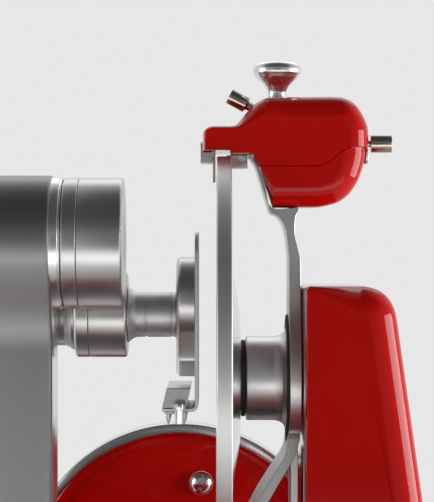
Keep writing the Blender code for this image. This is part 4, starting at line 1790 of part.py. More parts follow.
def main():
    clear_scene()
    bodies = make_groups()
    root = bodies["root"]
    make_knife(bodies["knife"])
    make_knife_cover(bodies["knife"])
    make_knife_shaft(bodies["knife"])
    make_hub(root)
    make_guard_ring(root)
    make_support_arm(root)
    make_base(root)
    make_base_plate(root)
    make_feet(root)
    make_upright_housing(root)
    make_flywheel(bodies["wheel"])
    make_flywheel_shaft(bodies["wheel"])
    make_crank(bodies["wheel"], bodies["grip"])
    make_flywheel_bush(root)
    make_drive_gears(bodies["wheel"], bodies["cross"])
    make_lower_wheel(bodies["cross"])
    make_chain(root)
    make_gear_bracket(root)
    make_rails(root)
    make_carriage_frame(bodies["carriage"])
    make_meat_table(bodies["carriage"])
    make_feed_screw(bodies["feed"])
    make_saddle(bodies["saddle"])
    make_column(bodies["saddle"])
    make_pivot(bodies["saddle"])
    make_link(bodies["link"])
    make_gripper_shaft(bodies["gripper"])
    make_gripper_boss(bodies["gripper"])
    make_gripper_plate(bodies["gripper"])
    make_claw(bodies["gripper"])
    make_gauge_plate(bodies["gauge"])
    make_gauge_screw(bodies["gauge_knob"])
    make_slice_tray(root)
    make_sharpener_cover(root)
    make_sharpener_lower(root)
    make_mushroom_knob(bodies["mushroom"])
    make_plungers(bodies["right_plunger"], bodies["left_plunger"])
    make_clamp_tab(root)
    make_stone_holders(root)
    make_stones(bodies["honing"], bodies["grinding"])
    centre_on_footprint(root["empty"])


main()
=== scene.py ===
import json
import math

import bmesh
import bpy
from mathutils import Matrix, Vector


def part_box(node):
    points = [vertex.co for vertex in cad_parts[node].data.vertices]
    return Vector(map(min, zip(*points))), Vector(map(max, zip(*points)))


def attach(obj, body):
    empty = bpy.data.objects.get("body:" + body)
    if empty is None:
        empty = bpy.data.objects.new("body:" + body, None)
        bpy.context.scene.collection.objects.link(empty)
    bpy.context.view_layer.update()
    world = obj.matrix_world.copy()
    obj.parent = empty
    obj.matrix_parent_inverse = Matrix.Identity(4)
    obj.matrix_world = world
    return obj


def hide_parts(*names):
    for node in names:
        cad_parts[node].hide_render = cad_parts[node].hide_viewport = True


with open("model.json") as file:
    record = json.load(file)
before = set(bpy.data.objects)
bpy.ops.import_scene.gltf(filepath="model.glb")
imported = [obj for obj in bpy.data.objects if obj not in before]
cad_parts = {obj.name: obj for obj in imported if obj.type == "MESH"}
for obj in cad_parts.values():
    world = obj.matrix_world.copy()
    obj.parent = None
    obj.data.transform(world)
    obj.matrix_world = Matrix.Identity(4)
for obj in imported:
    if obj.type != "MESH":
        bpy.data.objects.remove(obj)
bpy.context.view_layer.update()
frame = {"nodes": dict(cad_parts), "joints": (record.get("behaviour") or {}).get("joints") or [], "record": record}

bl_info = {
    "name": "Hand crank meat slicer",
    "version": (1, 0, 0),
    "blender": (4, 5, 0),
    "location": "View3D > Sidebar > Slicer",
    "description": "Dresses the frame of a hand cranked meat slicer: castings, knife, press and drive",
    "category": "Add Mesh",
}

KNIFE_LOW, KNIFE_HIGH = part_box("knife")
RING_LOW, RING_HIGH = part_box("guard_ring")

# Every place below is measured from the knife's axis, in the middle of the guard ring
CENTRE = Vector(((RING_LOW.x + RING_HIGH.x) / 2, (KNIFE_LOW.y + KNIFE_HIGH.y) / 2,
                 (KNIFE_LOW.z + KNIFE_HIGH.z) / 2))
AXES = {"X": Vector((1, 0, 0)), "Y": Vector((0, 1, 0)), "Z": Vector((0, 0, 1))}
SMOOTH_ANGLE = math.radians(34)
FINE_STEPS = 128
ROUND_STEPS = 72
SMALL_STEPS = 40
LID_RIM = 0.0002  # flat strip round a lid, so that its shading stays flat
SAME_POINT = 0.00001
NOSE_EDGE = 0.0026
CAMERA_SIDE = -0.0055
CAMERA_RISE = 0.100


def box(node):
    """A node's lowest and highest corner, measured from the knife's centre."""
    low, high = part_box(node)
    return low - CENTRE, high - CENTRE


def middle(node):
    low, high = box(node)
    return (low + high) / 2


# Mesh building


def finished(name, builder, body, finish, *nodes, bevel=0.0, segments=3, weighted=False):
    """A bmesh measured from the knife's centre, made an object that rides on its body in its finish."""
    bmesh.ops.remove_doubles(builder, verts=builder.verts, dist=0.000005)
    bmesh.ops.recalc_face_normals(builder, faces=builder.faces)
    bmesh.ops.translate(builder, verts=builder.verts, vec=CENTRE)
    mesh = bpy.data.meshes.new(name)
    builder.to_mesh(mesh)
    builder.free()
    piece = bpy.data.objects.new(name, mesh)
    bpy.context.scene.collection.objects.link(piece)
    mesh.shade_smooth()
    mesh.set_sharp_from_angle(angle=SMOOTH_ANGLE)
    if bevel:
        edging = piece.modifiers.new("edging", "BEVEL")
        edging.width = bevel
        edging.segments = segments
        edging.limit_method = "ANGLE"
        edging.angle_limit = SMOOTH_ANGLE
        edging.harden_normals = True
    if weighted:
        piece.modifiers.new("face_weights", "WEIGHTED_NORMAL").keep_sharp = True
    material, slot = FINISHES[finish]
    mesh.materials.append(material(piece))
    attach(piece, body)
    if nodes:
        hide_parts(*nodes)
    return piece


def eased(outline, radius, steps=4, closed=False):
    """The outline with each corner rounded, by less where its sides are short."""
    points = [Vector(point) for point in outline]
    last = len(points) - 1
    result = []
    for index, here in enumerate(points):
        if not closed and index in (0, last):
            result.append(tuple(here))
            continue
        before = points[index - 1] - here
        after = points[(index + 1) % len(points)] - here
        if before.length * after.length == 0 or before.angle(after) > math.radians(176):
            result.append(tuple(here))
            continue
        half = before.angle(after) / 2
        reach = min(radius / math.tan(half), before.length * 0.45, after.length * 0.45)
        start = here + before.normalized() * reach
        end = here + after.normalized() * reach
        for step in range(steps + 1):
            share = step / steps
            result.append(tuple(start.lerp(here, share).lerp(here.lerp(end, share), share)))
    return result


def flowing(points, steps=5, closed=False):
    """A smooth curve through the points, which may be of two or more numbers each."""
    count = len(points)
    result = []
    spans = count if closed else count - 1
    for index in range(spans):
        if closed:
            p0, p1, p2, p3 = (Vector(points[(index + shift) % count]) for shift in (-1, 0, 1, 2))
        else:
            p0, p1, p2, p3 = (Vector(points[min(max(index + shift, 0), count - 1)])
                              for shift in (-1, 0, 1, 2))
        for step in range(steps):
            t = step / steps
            point = 0.5 * (2 * p1 + (p2 - p0) * t + (2 * p0 - 5 * p1 + 4 * p2 - p3) * t * t
                           + (3 * p1 - p0 - 3 * p2 + p3) * t * t * t)
            result.append(tuple(point))
    if not closed:
        result.append(tuple(points[-1]))
    return result


def stood(builder, axis, place):
    """Turns a bmesh from +Z to an axis and moves it to a place."""
    turn = AXES["Z"].rotation_difference(Vector(axis)).to_matrix().to_4x4()
    bmesh.ops.transform(builder, matrix=Matrix.Translation(Vector(place)) @ turn, verts=builder.verts)


def spun(outline, axis, place, steps, closed=False):
    """A bmesh turned from an outline of (along, radius) pairs."""
    builder = bmesh.new()
    points = [builder.verts.new((radius, 0, along)) for along, radius in outline]
    pairs = list(zip(points, points[1:]))
    if closed:
        pairs.append((points[-1], points[0]))
    edges = [builder.edges.new(pair) for pair in pairs]
    bmesh.ops.spin(builder, geom=points + edges, cent=(0, 0, 0), axis=(0, 0, 1), dvec=(0, 0, 0),
                   angle=math.tau, steps=steps, use_merge=True, use_duplicate=False)
    stood(builder, axis, place)
    return builder


def turned(name, outline, ease, axis, place, steps, body, finish, *nodes, rounding=3, closed=False):
    """A finished piece that is turned from an outline with its corners eased."""
    builder = spun(eased(outline, ease, rounding, closed), axis, place, steps, closed)
    return finished(name, builder, body, finish, *nodes)


def in_space(axis, first, second, along):
    if axis == "X":
        return (along, first, second)
    if axis == "Y":
        return (first, along, second)
    return (first, second, along)


def pushed(outline, axis, start, end, builder=None):
    """A bmesh of a flat outline pushed along one axis."""
    builder = builder or bmesh.new()
    face = builder.faces.new([builder.verts.new(in_space(axis, *point, start)) for point in outline])
    grown = bmesh.ops.extrude_face_region(builder, geom=[face])
    moved = [part for part in grown["geom"] if isinstance(part, bmesh.types.BMVert)]
    bmesh.ops.translate(builder, verts=moved, vec=AXES[axis] * (end - start))
    return builder


def inward(outline, distance, shares):
    """The outline moved inwards at each point by a share of a distance."""
    points = [Vector(point) for point in outline]
    area = sum(a.x * b.y - b.x * a.y for a, b in zip(points, points[1:] + points[:1]))
    turn = 1 if area > 0 else -1
    result = []
    for index, here in enumerate(points):
        before = (here - points[index - 1]).normalized()
        after = (points[(index + 1) % len(points)] - here).normalized()
        along = before + after
        side = Vector((-along.y, along.x)).normalized() * turn
        widening = 1 / max(side.dot(Vector((-before.y, before.x)) * turn), 0.5)
        result.append(tuple(here + side * distance * shares[index] * widening))
    return result


def rounded_levels(start, end, deep, steps):
    """Places through a slab and how far each is drawn in, from 1 at its two faces to 0 inside."""
    turns = [math.pi / 2 * step / steps for step in range(steps + 1)]
    near = [(start + deep * (1 - math.cos(turn)), 1 - math.sin(turn)) for turn in turns]
    far = [(end - deep * (1 - math.cos(turn)), 1 - math.sin(turn)) for turn in reversed(turns)]
    return near + far


def bridged(builder, rings):
    """Joins each loop of edges to the next one."""
    for first, second in zip(rings, rings[1:]):
        bmesh.ops.bridge_loops(builder, edges=first + second)


def layered(outlines, axis):
    """A bmesh through flat outlines of the same number of points, each given with its place."""
    builder = bmesh.new()
    rings = []
    lids = []
    for number, (along, outline) in enumerate(outlines):
        points = [builder.verts.new(in_space(axis, *point, along)) for point in outline]
        rings.append([builder.edges.new(pair) for pair in zip(points, points[1:] + points[:1])])
        if number in (0, len(outlines) - 1):
            apart = [point for point, last in zip(points, points[-1:] + points[:-1])
                     if (point.co - last.co).length > SAME_POINT]
            lids.append(builder.faces.new(apart))
    bridged(builder, rings)
    bmesh.ops.inset_individual(builder, faces=lids, thickness=LID_RIM, use_even_offset=False)
    bmesh.ops.triangulate(builder, faces=lids, ngon_method="EAR_CLIP")
    return builder


def cushion(outline, shares, axis, start, end, radius, steps=9):
    """A slab whose two sides are rounded into its outline, by each point's share of the radius."""
    return layered([(along, inward(outline, inset * radius, shares))
                    for along, inset in rounded_levels(start, end, radius, steps)], axis)


def height_on(line, across):
    """The height of a line of points, in order of their first number, at a place along it."""
    for (x0, z0), (x1, z1) in zip(line, line[1:]):
        if across <= x1:
            return z0 + (z1 - z0) * min(max((across - x0) / max(x1 - x0, 0.000001), 0.0), 1.0)
    return line[-1][1]


def bent(start, start_way, end, end_way, steps):
    """A smooth bend between two points with the given directions."""
    a, d = Vector(start), Vector(end)
    reach = (d - a).length * 0.42
    b = a + Vector(start_way).normalized() * reach
    c = d - Vector(end_way).normalized() * reach
    points = []
    for step in range(steps + 1):
        t = step / steps
        rest = 1 - t
        points.append(tuple(a * rest ** 3 + b * 3 * t * rest ** 2 + c * 3 * t * t * rest + d * t ** 3))
    return points


def merged(*builders):
    """Several bmeshes as one."""
    whole = builders[0]
    for other in builders[1:]:
        mesh = bpy.data.meshes.new("part")
        other.to_mesh(mesh)
        other.free()
        whole.from_mesh(mesh)
        bpy.data.meshes.remove(mesh)
    return whole


def refined(node):
    """A merged copy of a node whose form is right, measured from the knife's centre."""
    builder = bmesh.new()
    builder.from_mesh(frame["nodes"][node].data)
    bmesh.ops.remove_doubles(builder, verts=builder.verts, dist=0.00002)
    bmesh.ops.dissolve_limit(builder, angle_limit=math.radians(1), verts=builder.verts,
                             edges=builder.edges)
    bmesh.ops.translate(builder, verts=builder.verts, vec=-CENTRE)
    return builder


def arc(centre, radius, start, end, steps):
    angles = [start + (end - start) * step / steps for step in range(steps + 1)]
    return [(centre[0] + radius * math.cos(a), centre[1] + radius * math.sin(a)) for a in angles]


def round_end(start, outer, depth, steps=6):
    """Outline points of a domed end that starts at a rim and ends on the axis."""
    return [(start + depth * math.sin(math.pi / 2 * step / steps),
             outer * math.cos(math.pi / 2 * step / steps)) for step in range(steps + 1)]


def cap_screw(place, direction, radius, height):
    """A screw head with a chamfered rim and a six-sided recess, standing on its seat."""
    rim = eased([(0, 0), (0, radius), (height, radius), (height, 0)], height * 0.25, 3)
    builder = merged(bmesh.new(), spun(rim, (0, 0, 1), (0, 0, 0), 32))
    top = [face for face in builder.faces if face.calc_center_median().z > height * 0.98]
    bmesh.ops.delete(builder, geom=top, context="FACES")
    ring = [edge for edge in builder.edges if edge.is_boundary]
    hexagon = bmesh.ops.create_circle(builder, cap_ends=False, segments=6, radius=radius * 0.52)["verts"]
    bmesh.ops.translate(builder, verts=hexagon, vec=(0, 0, height))
    hex_edges = [edge for edge in builder.edges if edge.verts[0] in hexagon and edge.verts[1] in hexagon]
    bmesh.ops.triangle_fill(builder, edges=ring + hex_edges, use_beauty=True)
    wall = bmesh.ops.extrude_edge_only(builder, edges=hex_edges)
    lowered = [part for part in wall["geom"] if isinstance(part, bmesh.types.BMVert)]
    bmesh.ops.translate(builder, verts=lowered, vec=(0, 0, -height * 0.6))
    builder.faces.new(sorted(lowered, key=lambda vert: math.atan2(vert.co.y, vert.co.x)))
    stood(builder, direction, place)
    return builder


def threaded(radius, depth, lead, start, end, axis, place):
    """A rod with a helical thread, made by a profile that is spun and pushed at once."""
    builder = bmesh.new()
    steps = 20
    turns = int((end - start) / lead)
    root = radius - depth
    profile = [(0.0, root), (0.3, root), (0.45, radius), (0.85, radius), (1.0, root)]
    points = [builder.verts.new((out, 0, start + lead * along)) for along, out in profile]
    edges = [builder.edges.new(pair) for pair in zip(points, points[1:])]
    bmesh.ops.spin(builder, geom=points + edges, cent=(0, 0, 0), axis=(0, 0, 1),
                   dvec=(0, 0, lead / steps), angle=math.tau * (turns - 1), steps=steps * (turns - 1),
                   use_merge=False, use_duplicate=False)
    core = spun([(start, 0), (start, root), (end, root), (end, 0)], (0, 0, 1),
                (0, 0, 0), 24)
    builder = merged(builder, core)
    stood(builder, axis, place)
    return builder


# Shader building


class Socket:
    """A shader value whose operators add the nodes that work them out."""

    def __init__(self, maker, socket):
        self.maker = maker
        self.socket = socket

    def _math(self, operation, first, second):
        return self.maker.node("ShaderNodeMath", {"operation": operation}, {0: first, 1: second})

    def __add__(self, other):
        return self._math("ADD", self, other)

    def __radd__(self, other):
        return self._math("ADD", other, self)

    def __sub__(self, other):
        return self._math("SUBTRACT", self, other)

    def __rsub__(self, other):
        return self._math("SUBTRACT", other, self)

    def __mul__(self, other):
        return self._math("MULTIPLY", self, other)

    def __rmul__(self, other):
        return self._math("MULTIPLY", other, self)

    def root(self):
        return self._math("SQRT", self, 0.0)

    def clamped(self, low, high):
        return self.maker.node("ShaderNodeClamp", {}, {"Value": self, "Min": low, "Max": high})


class Recipe:
    """A new material and the nodes that are added to it."""

    def __init__(self, name):
        self.material = bpy.data.materials.new(name)
        self.material.use_nodes = True
        self.tree = self.material.node_tree
        self.shader = self.tree.nodes["Principled BSDF"]

    def node(self, kind, settings, inputs, output=0):
        node = self.tree.nodes.new(kind)
        for key, value in settings.items():
            if key == "stops":
                for position, _ in value[1:-1]:
                    node.color_ramp.elements.new(position)
                for element, (position, colour) in zip(node.color_ramp.elements, value):
                    element.position = position
                    element.color = colour
            else:
                setattr(node, key, value)
        for key, value in inputs.items():
            self.feed(node.inputs[key], value)
        return Socket(self, node.outputs[output])

    def feed(self, target, value):
        if isinstance(value, Socket):
            self.tree.links.new(value.socket, target)
        else:
            target.default_value = value

    def levels(self, height, stops):
        """Grey levels up a height from 0 to 1."""
        ramp = [(position, (level, level, level, 1.0)) for position, level in stops]
        return self.node("ShaderNodeValToRGB", {"stops": ramp}, {"Fac": height}, "Color")

    def set(self, **values):
        for key, value in values.items():
            self.feed(self.shader.inputs[key.replace("_", " ")], value)

    def place(self):
        return self.node("ShaderNodeTexCoord", {}, {}, "Object")

    def noise(self, vector, scale, detail=3.0, roughness=0.55):
        return self.node("ShaderNodeTexNoise", {}, {"Vector": vector, "Scale": scale, "Detail": detail,
                                                    "Roughness": roughness}, "Fac")

    def mixed(self, share, first, second):
        return self.node("ShaderNodeMix", {"data_type": "RGBA"}, {0: share, 6: first, 7: second}, 2)

    def stretched(self, vector, scale):
        return self.node("ShaderNodeMapping", {}, {"Vector": vector, "Scale": scale})

    def bumped(self, height, strength, distance=0.0004):
        return self.node("ShaderNodeBump", {}, {"Height": height, "Strength": strength,
                                                "Distance": distance})


class Surround(Recipe):
    """The nodes of a world."""

    def __init__(self, world):
        self.tree = world.node_tree


def around(recipe, axis, centre, along_scale, out_scale):
    """Lines round an axis: places told apart by how far along it and how far from it they lie."""
    moved = recipe.node("ShaderNodeVectorMath", {"operation": "SUBTRACT"},
                        {0: recipe.place(), 1: centre})
    parts = {name: recipe.node("ShaderNodeSeparateXYZ", {}, {0: moved}, name) for name in "XYZ"}
    along = parts.pop(axis)
    first, second = parts.values()
    out = (first * first + second * second).root()
    return recipe.node("ShaderNodeCombineXYZ", {}, {0: along * along_scale, 1: out * out_scale})


def grained(name, colour, roughness, lines, strength, metallic=1.0, spread=0.10):
    """A metal whose fine lines follow the given places, with soft stains in its gloss."""
    recipe = Recipe(name)
    vector = lines(recipe)
    fine = recipe.noise(vector, 1.0, 4.0, 0.65)
    stain = recipe.noise(recipe.place(), 14.0, 3.0)
    darker = tuple(value * 0.80 for value in colour[:3]) + (1.0,)
    recipe.set(Base_Color=recipe.mixed((fine * 0.7 + stain * 0.3).clamped(0.0, 1.0), darker, colour),
               Roughness=(fine * spread + stain * spread + (roughness - spread)).clamped(0.03, 1.0),
               Metallic=metallic, Normal=recipe.bumped(fine, strength))
    return recipe.material


def cached(maker):
    """Makes a material once, for every piece of that finish."""
    made = []

    def wrapped(piece):
        if not made:
            made.append(maker(piece))
        return made[0]
    return wrapped


def centre_of(piece):
    corners = [Vector(corner) for corner in piece.bound_box]
    return sum(corners, Vector()) / 8


def turned_metal(name, axis, look):
    """A maker of metal that was turned on a lathe about each piece's own axis."""
    def make(piece):
        centre = tuple(centre_of(piece))
        finish = bpy.context.scene.slicer_finish
        colour = tuple(getattr(finish, look + "_colour")) + (1.0,)

        def lines(recipe):
            return around(recipe, axis, centre, 2600.0, 2600.0)
        return grained(f"{name} {piece.name}", colour, getattr(finish, look + "_roughness"), lines, 0.05)
    return make


def brushed_metal(name, look, scale):
    """A maker of metal that was brushed in straight lines; the scale is small along the lines."""
    @cached
    def make(piece):
        finish = bpy.context.scene.slicer_finish
        colour = tuple(getattr(finish, look + "_colour")) + (1.0,)

        def lines(recipe):
            return recipe.stretched(recipe.place(), scale)
        return grained(name, colour, getattr(finish, look + "_roughness"), lines, 0.06)
    return make


@cached
def enamel(piece):
    finish = bpy.context.scene.slicer_finish
    recipe = Recipe("red_enamel")
    place = recipe.place()
    cloud = recipe.noise(place, 9.0, 3.0)
    peel = recipe.noise(place, 420.0, 2.0)
    dust = recipe.noise(place, 900.0, 2.0)
    colour = tuple(finish.enamel_colour) + (1.0,)
    deeper = tuple(value * 0.78 for value in finish.enamel_colour) + (1.0,)
    recipe.set(Base_Color=recipe.mixed(cloud, deeper, colour),
               Roughness=(cloud * 0.08 + dust * 0.06 + finish.enamel_roughness).clamped(0.05, 1.0),
               Specular_IOR_Level=0.0, Coat_Weight=1.0, Coat_Roughness=0.05, Coat_IOR=1.32,
               Normal=recipe.bumped(peel, 0.02))
    return recipe.material


@cached
def cast_metal(piece):
    """Cast and blasted metal: a fine grain all over, a little darker in broad random clouds."""
    finish = bpy.context.scene.slicer_finish
    recipe = Recipe("cast_aluminium")
    place = recipe.place()
    grain = recipe.noise(place, 520.0, 4.0, 0.6)
    cloud = recipe.noise(place, 22.0, 3.0)
    colour = tuple(finish.cast_colour) + (1.0,)
    darker = tuple(value * 0.72 for value in finish.cast_colour) + (1.0,)
    recipe.set(Base_Color=recipe.mixed((cloud * 0.6 + grain * 0.4).clamped(0.0, 1.0), darker, colour),
               Roughness=(grain * 0.12 + cloud * 0.10 + (finish.cast_roughness - 0.10)).clamped(0.05, 1.0),
               Metallic=1.0, Normal=recipe.bumped(grain, 0.10))
    return recipe.material


@cached
def mirror_metal(piece):
    """Polished plate with hairline wipes and faint clouds in its gloss."""
    finish = bpy.context.scene.slicer_finish
    recipe = Recipe("polished_steel")
    place = recipe.place()
    wipe = recipe.noise(recipe.stretched(place, (90.0, 90.0, 1400.0)), 1.0, 3.0)
    cloud = recipe.noise(place, 18.0, 2.0)
    colour = tuple(finish.polished_colour) + (1.0,)
    least = finish.polished_roughness - 0.03
    recipe.set(Base_Color=recipe.mixed(cloud, tuple(v * 0.93 for v in colour[:3]) + (1.0,), colour),
               Roughness=(wipe * 0.05 + cloud * 0.04 + least).clamped(0.03, 1.0),
               Metallic=1.0, Normal=recipe.bumped(wipe, 0.012))
    return recipe.material


def clouded(name, dark, light, cloud, fine, gloss, bump, **more):
    """A finish with broad clouds in its colour and a fine grain in its gloss and its surface.

    cloud and fine are each noise's scale and detail. gloss is what each adds to the roughness, its base
    value and its least value."""
    recipe = Recipe(name)
    place = recipe.place()
    broad = recipe.noise(place, *cloud)
    small = recipe.noise(place, *fine)
    by_broad, by_small, base, least = gloss
    recipe.set(Base_Color=recipe.mixed(broad, dark + (1.0,), light + (1.0,)),
               Roughness=(broad * by_broad + small * by_small + base).clamped(least, 1.0),
               Normal=recipe.bumped(small, bump), **more)
    return recipe.material


@cached
def nickel(piece):
    """Warm bright plating with faint wear."""
    colour = tuple(bpy.context.scene.slicer_finish.nickel_colour)
    return clouded("bright_nickel", tuple(v * 0.85 for v in colour), colour, (60.0, 3.0), (900.0, 2.0),
                   (0.08, 0.05, 0.10, 0.03), 0.02, Metallic=1.0)


@cached
def machine_metal(piece):
    return clouded("machine_steel", (0.10, 0.10, 0.10), (0.30, 0.29, 0.28), (30.0, 4.0), (700.0, 2.0),
                   (0.2, 0.1, 0.25, 0.05), 0.05, Metallic=1.0)


@cached
def bronze(piece):
    return clouded("bearing_bronze", (0.36, 0.22, 0.09), (0.62, 0.42, 0.20), (40.0, 4.0), (700.0, 2.0),
                   (0.2, 0.0, 0.25, 0.05), 0.0, Metallic=1.0)


@cached
def rubber(piece):
    return clouded("foot_rubber", (0.012, 0.012, 0.012), (0.035, 0.035, 0.035), (25.0, 2.0), (900.0, 3.0),
                   (0.0, 0.2, 0.6, 0.05), 0.15)


@cached
def grip(piece):
    return clouded("grip_plastic", (0.008, 0.008, 0.008), (0.022, 0.020, 0.020), (20.0, 3.0), (600.0, 2.0),
                   (0.10, 0.08, 0.16, 0.05), 0.02, Coat_Weight=0.4, Coat_Roughness=0.08)


@cached
def stone(piece):
    recipe = Recipe("abrasive_stone")
    place = recipe.place()
    grit = recipe.noise(place, 1800.0, 4.0, 0.7)
    recipe.set(Base_Color=recipe.mixed(grit, (0.30, 0.29, 0.28, 1.0), (0.78, 0.76, 0.73, 1.0)),
               Roughness=(grit * 0.1 + 0.85).clamped(0.05, 1.0), Normal=recipe.bumped(grit, 0.5))
    return recipe.material


FINISHES = {
    "enamel": (enamel, "red_enamel"),
    "cast": (cast_metal, "cast_aluminium"),
    "press_x": (turned_metal("press_turned", "X", "press"), "press_aluminium"),
    "press_flat": (brushed_metal("press_brushed", "press", (60.0, 60.0, 2200.0)), "press_aluminium"),
    "ring_x": (turned_metal("ring_turned", "X", "ring"), "ring_steel"),
    "ring_z": (turned_metal("ring_turned_up", "Z", "ring"), "ring_steel"),
    "ring_flat": (brushed_metal("ring_brushed", "ring", (2200.0, 60.0, 60.0)), "ring_steel"),
    "hub_x": (turned_metal("hub_turned", "X", "hub"), "cast_aluminium"),
    "sheet": (brushed_metal("sheet_brushed", "sheet", (2400.0, 40.0, 2400.0)), "sheet_steel"),
    "knife_x": (turned_metal("knife_ground", "X", "polished"), "polished_steel"),
    "mirror": (mirror_metal, "polished_steel"),
    "mirror_y": (turned_metal("rim_turned", "Y", "polished"), "polished_steel"),
    "nickel": (nickel, "ring_steel"),
    "bright": (brushed_metal("bright_satin", "satin", (300.0, 300.0, 300.0)), "press_aluminium"),
    "column": (brushed_metal("column_brushed", "column", (60.0, 60.0, 1500.0)), "press_aluminium"),
    "machine": (machine_metal, "machine_steel"),
    "bronze": (bronze, "bearing_bronze"),
    "rubber": (rubber, "foot_rubber"),
    "grip": (grip, "grip_plastic"),
    "stone": (stone, "abrasive_stone"),
}

NODE_FINISHES = {
    "red_enamel": "enamel", "cast_aluminium": "cast", "press_aluminium": "press_flat",
    "ring_steel": "ring_flat", "sheet_steel": "sheet", "polished_steel": "mirror",
    "machine_steel": "machine", "bearing_bronze": "bronze", "foot_rubber": "rubber",
    "grip_plastic": "grip", "abrasive_stone": "stone",
}


# Settings that a user would change


def length(name, description, default, low, high):
    return bpy.props.FloatProperty(name=name, description=description, default=default, min=low, max=high,
                                   unit="LENGTH")


def fraction(name, description, default):
    return bpy.props.FloatProperty(name=name, description=description, default=default, min=0, max=1)


def power(name, description, default):
    return bpy.props.FloatProperty(name=name, description=description, default=default, min=0,
                                   subtype="POWER")


def colour(name, description, default):
    return bpy.props.FloatVectorProperty(name=name, description=description, default=default, min=0, max=1,
                                         size=3, subtype="COLOR")


class SlicerSizes(bpy.types.PropertyGroup):
    casting_edge: length("Casting edge", "Rounding of the red housings' long edges", 0.022, 0.002, 0.03)
    cover_edge: length("Cover edge", "Rounding of the sharpener castings' sides", 0.016, 0.002, 0.024)
    fine_edge: length("Fine edge", "Broken edge of machined pieces", 0.0005, 0.0001, 0.002)
    screw_radius: length("Screw head radius", "Radius of the common screw heads", 0.0045, 0.002, 0.008)
    thread_lead: length("Feed thread lead", "Distance between the feed's threads", 0.0025, 0.001, 0.01)
    knob_flutes: bpy.props.IntProperty(
        name="Knob flutes", description="Flutes round the plastic knob", default=14, min=6, max=40)


class SlicerFinish(bpy.types.PropertyGroup):
    enamel_colour: colour("Enamel colour", "Colour of the painted castings", (0.55, 0.0044, 0.0030))
    enamel_roughness: fraction("Enamel roughness", "Roughness under the clear coat", 0.22)
    press_colour: colour("Press colour", "Colour of the press castings", (0.66, 0.65, 0.64))
    press_roughness: fraction("Press roughness", "Roughness of the press castings", 0.30)
    ring_colour: colour("Ring colour", "Colour of the guard ring and the gripper", (0.78, 0.78, 0.775))
    ring_roughness: fraction("Ring roughness", "Roughness of the guard ring and the gripper", 0.46)
    hub_colour: colour("Hub colour", "Colour of the turned hub", (0.82, 0.82, 0.82))
    hub_roughness: fraction("Hub roughness", "Roughness of the turned hub", 0.36)
    sheet_colour: colour("Sheet colour", "Colour of the sheet steel", (0.62, 0.62, 0.62))
    sheet_roughness: fraction("Sheet roughness", "Roughness of the sheet steel", 0.30)
    polished_colour: colour("Polished colour", "Colour of the polished steel", (0.80, 0.80, 0.80))
    polished_roughness: fraction("Polished roughness", "Roughness of the polished steel", 0.12)
    nickel_colour: colour("Nickel colour", "Colour of the plated buttons", (0.56, 0.51, 0.45))
    satin_colour: colour("Satin colour", "Colour of the bright satin metal", (0.90, 0.90, 0.90))
    satin_roughness: fraction("Satin roughness", "Roughness of the bright satin metal", 0.24)
    # Painted shade: the column's metal is darker than the press castings' metal, standing for the shade on its
    # front.
    column_colour: colour("Column colour", "Colour of the press column", (0.31, 0.305, 0.30))
    column_roughness: fraction("Column roughness", "Roughness of the press column", 0.40)
    cast_colour: colour("Casting colour", "Colour of the bare castings", (0.80, 0.80, 0.79))
    cast_roughness: fraction("Casting roughness", "Roughness of the bare castings", 0.36)


class StageSettings(bpy.types.PropertyGroup):
    camera_distance: length("Camera distance", "From the camera to the knife's axis", 1.6, 0.5, 5.0)
    camera_lens: bpy.props.FloatProperty(
        name="Focal length", description="Focal length on a 36 mm sensor", default=145.7,
        min=20, max=300)
    low_power: power("Low power", "Power of the soft light low in front", 6.6)
    side_power: power("Side power", "Power of the soft light at the right", 20.0)
    left_power: power("Left power", "Power of the soft light at the left", 3.6)
    rear_power: power("Rear power", "Power of the soft light behind and above", 3.2)
    background: fraction("Background", "Brightness of the background", 0.80)


# Stage


# Brightness of the studio from below (0) to above (1), on the camera's side and behind the machine
FRONT_LEVELS = ((0.0, 0.52), (0.25, 0.54), (0.40, 0.48), (0.50, 0.38), (0.58, 0.34), (0.65, 0.22),
                (0.72, 0.10), (0.85, 0.065), (1.0, 0.07))
BACK_LEVELS = ((0.0, 0.52), (0.30, 0.60), (0.50, 0.80), (0.70, 0.80), (0.90, 0.62), (0.955, 0.42),
               (0.985, 0.15), (1.0, 0.08))


def world_light(settings):
    """A plain surround for the camera, and a studio with a dark ceiling for the light that it gives."""
    world = bpy.data.worlds.new("studio")
    bpy.context.scene.world = world
    world.use_nodes = True
    recipe = Surround(world)
    direction = recipe.node("ShaderNodeTexCoord", {}, {}, "Generated")
    up = recipe.node("ShaderNodeSeparateXYZ", {}, {0: direction}, "Z")
    back = recipe.node("ShaderNodeSeparateXYZ", {}, {0: direction}, "Y")
    right = recipe.node("ShaderNodeSeparateXYZ", {}, {0: direction}, "X")
    height = (up + 1.0) * 0.5
    front_levels = recipe.levels(height, FRONT_LEVELS)
    back_levels = recipe.levels(height, BACK_LEVELS)
    room = recipe.mixed((back * 3.0 + 0.5).clamped(0.0, 1.0), front_levels, back_levels)
    facing = ((-1.0 * back - 0.955) * 32.0).clamped(0.0, 1.0)
    room = recipe.mixed(facing, room, (0.13, 0.13, 0.13, 1.0))
    side = ((right * right - 0.45) * 2.0).clamped(0.0, 0.6)
    room = recipe.mixed(side, room, (0.50, 0.50, 0.51, 1.0))
    camera = recipe.node("ShaderNodeLightPath", {}, {}, "Is Camera Ray")
    mirrored = recipe.node("ShaderNodeLightPath", {}, {}, "Is Glossy Ray")
    passed = recipe.node("ShaderNodeLightPath", {}, {}, "Is Transmission Ray")
    behind = ((back - 0.75) * 4.0).clamped(0.0, 1.0)
    seen = (camera + (mirrored + passed) * behind).clamped(0.0, 1.0)
    level = settings.background
    recipe.tree.links.new(recipe.mixed(seen, room, (level, level, level * 0.998, 1.0)).socket,
                          recipe.tree.nodes["Background"].inputs["Color"])


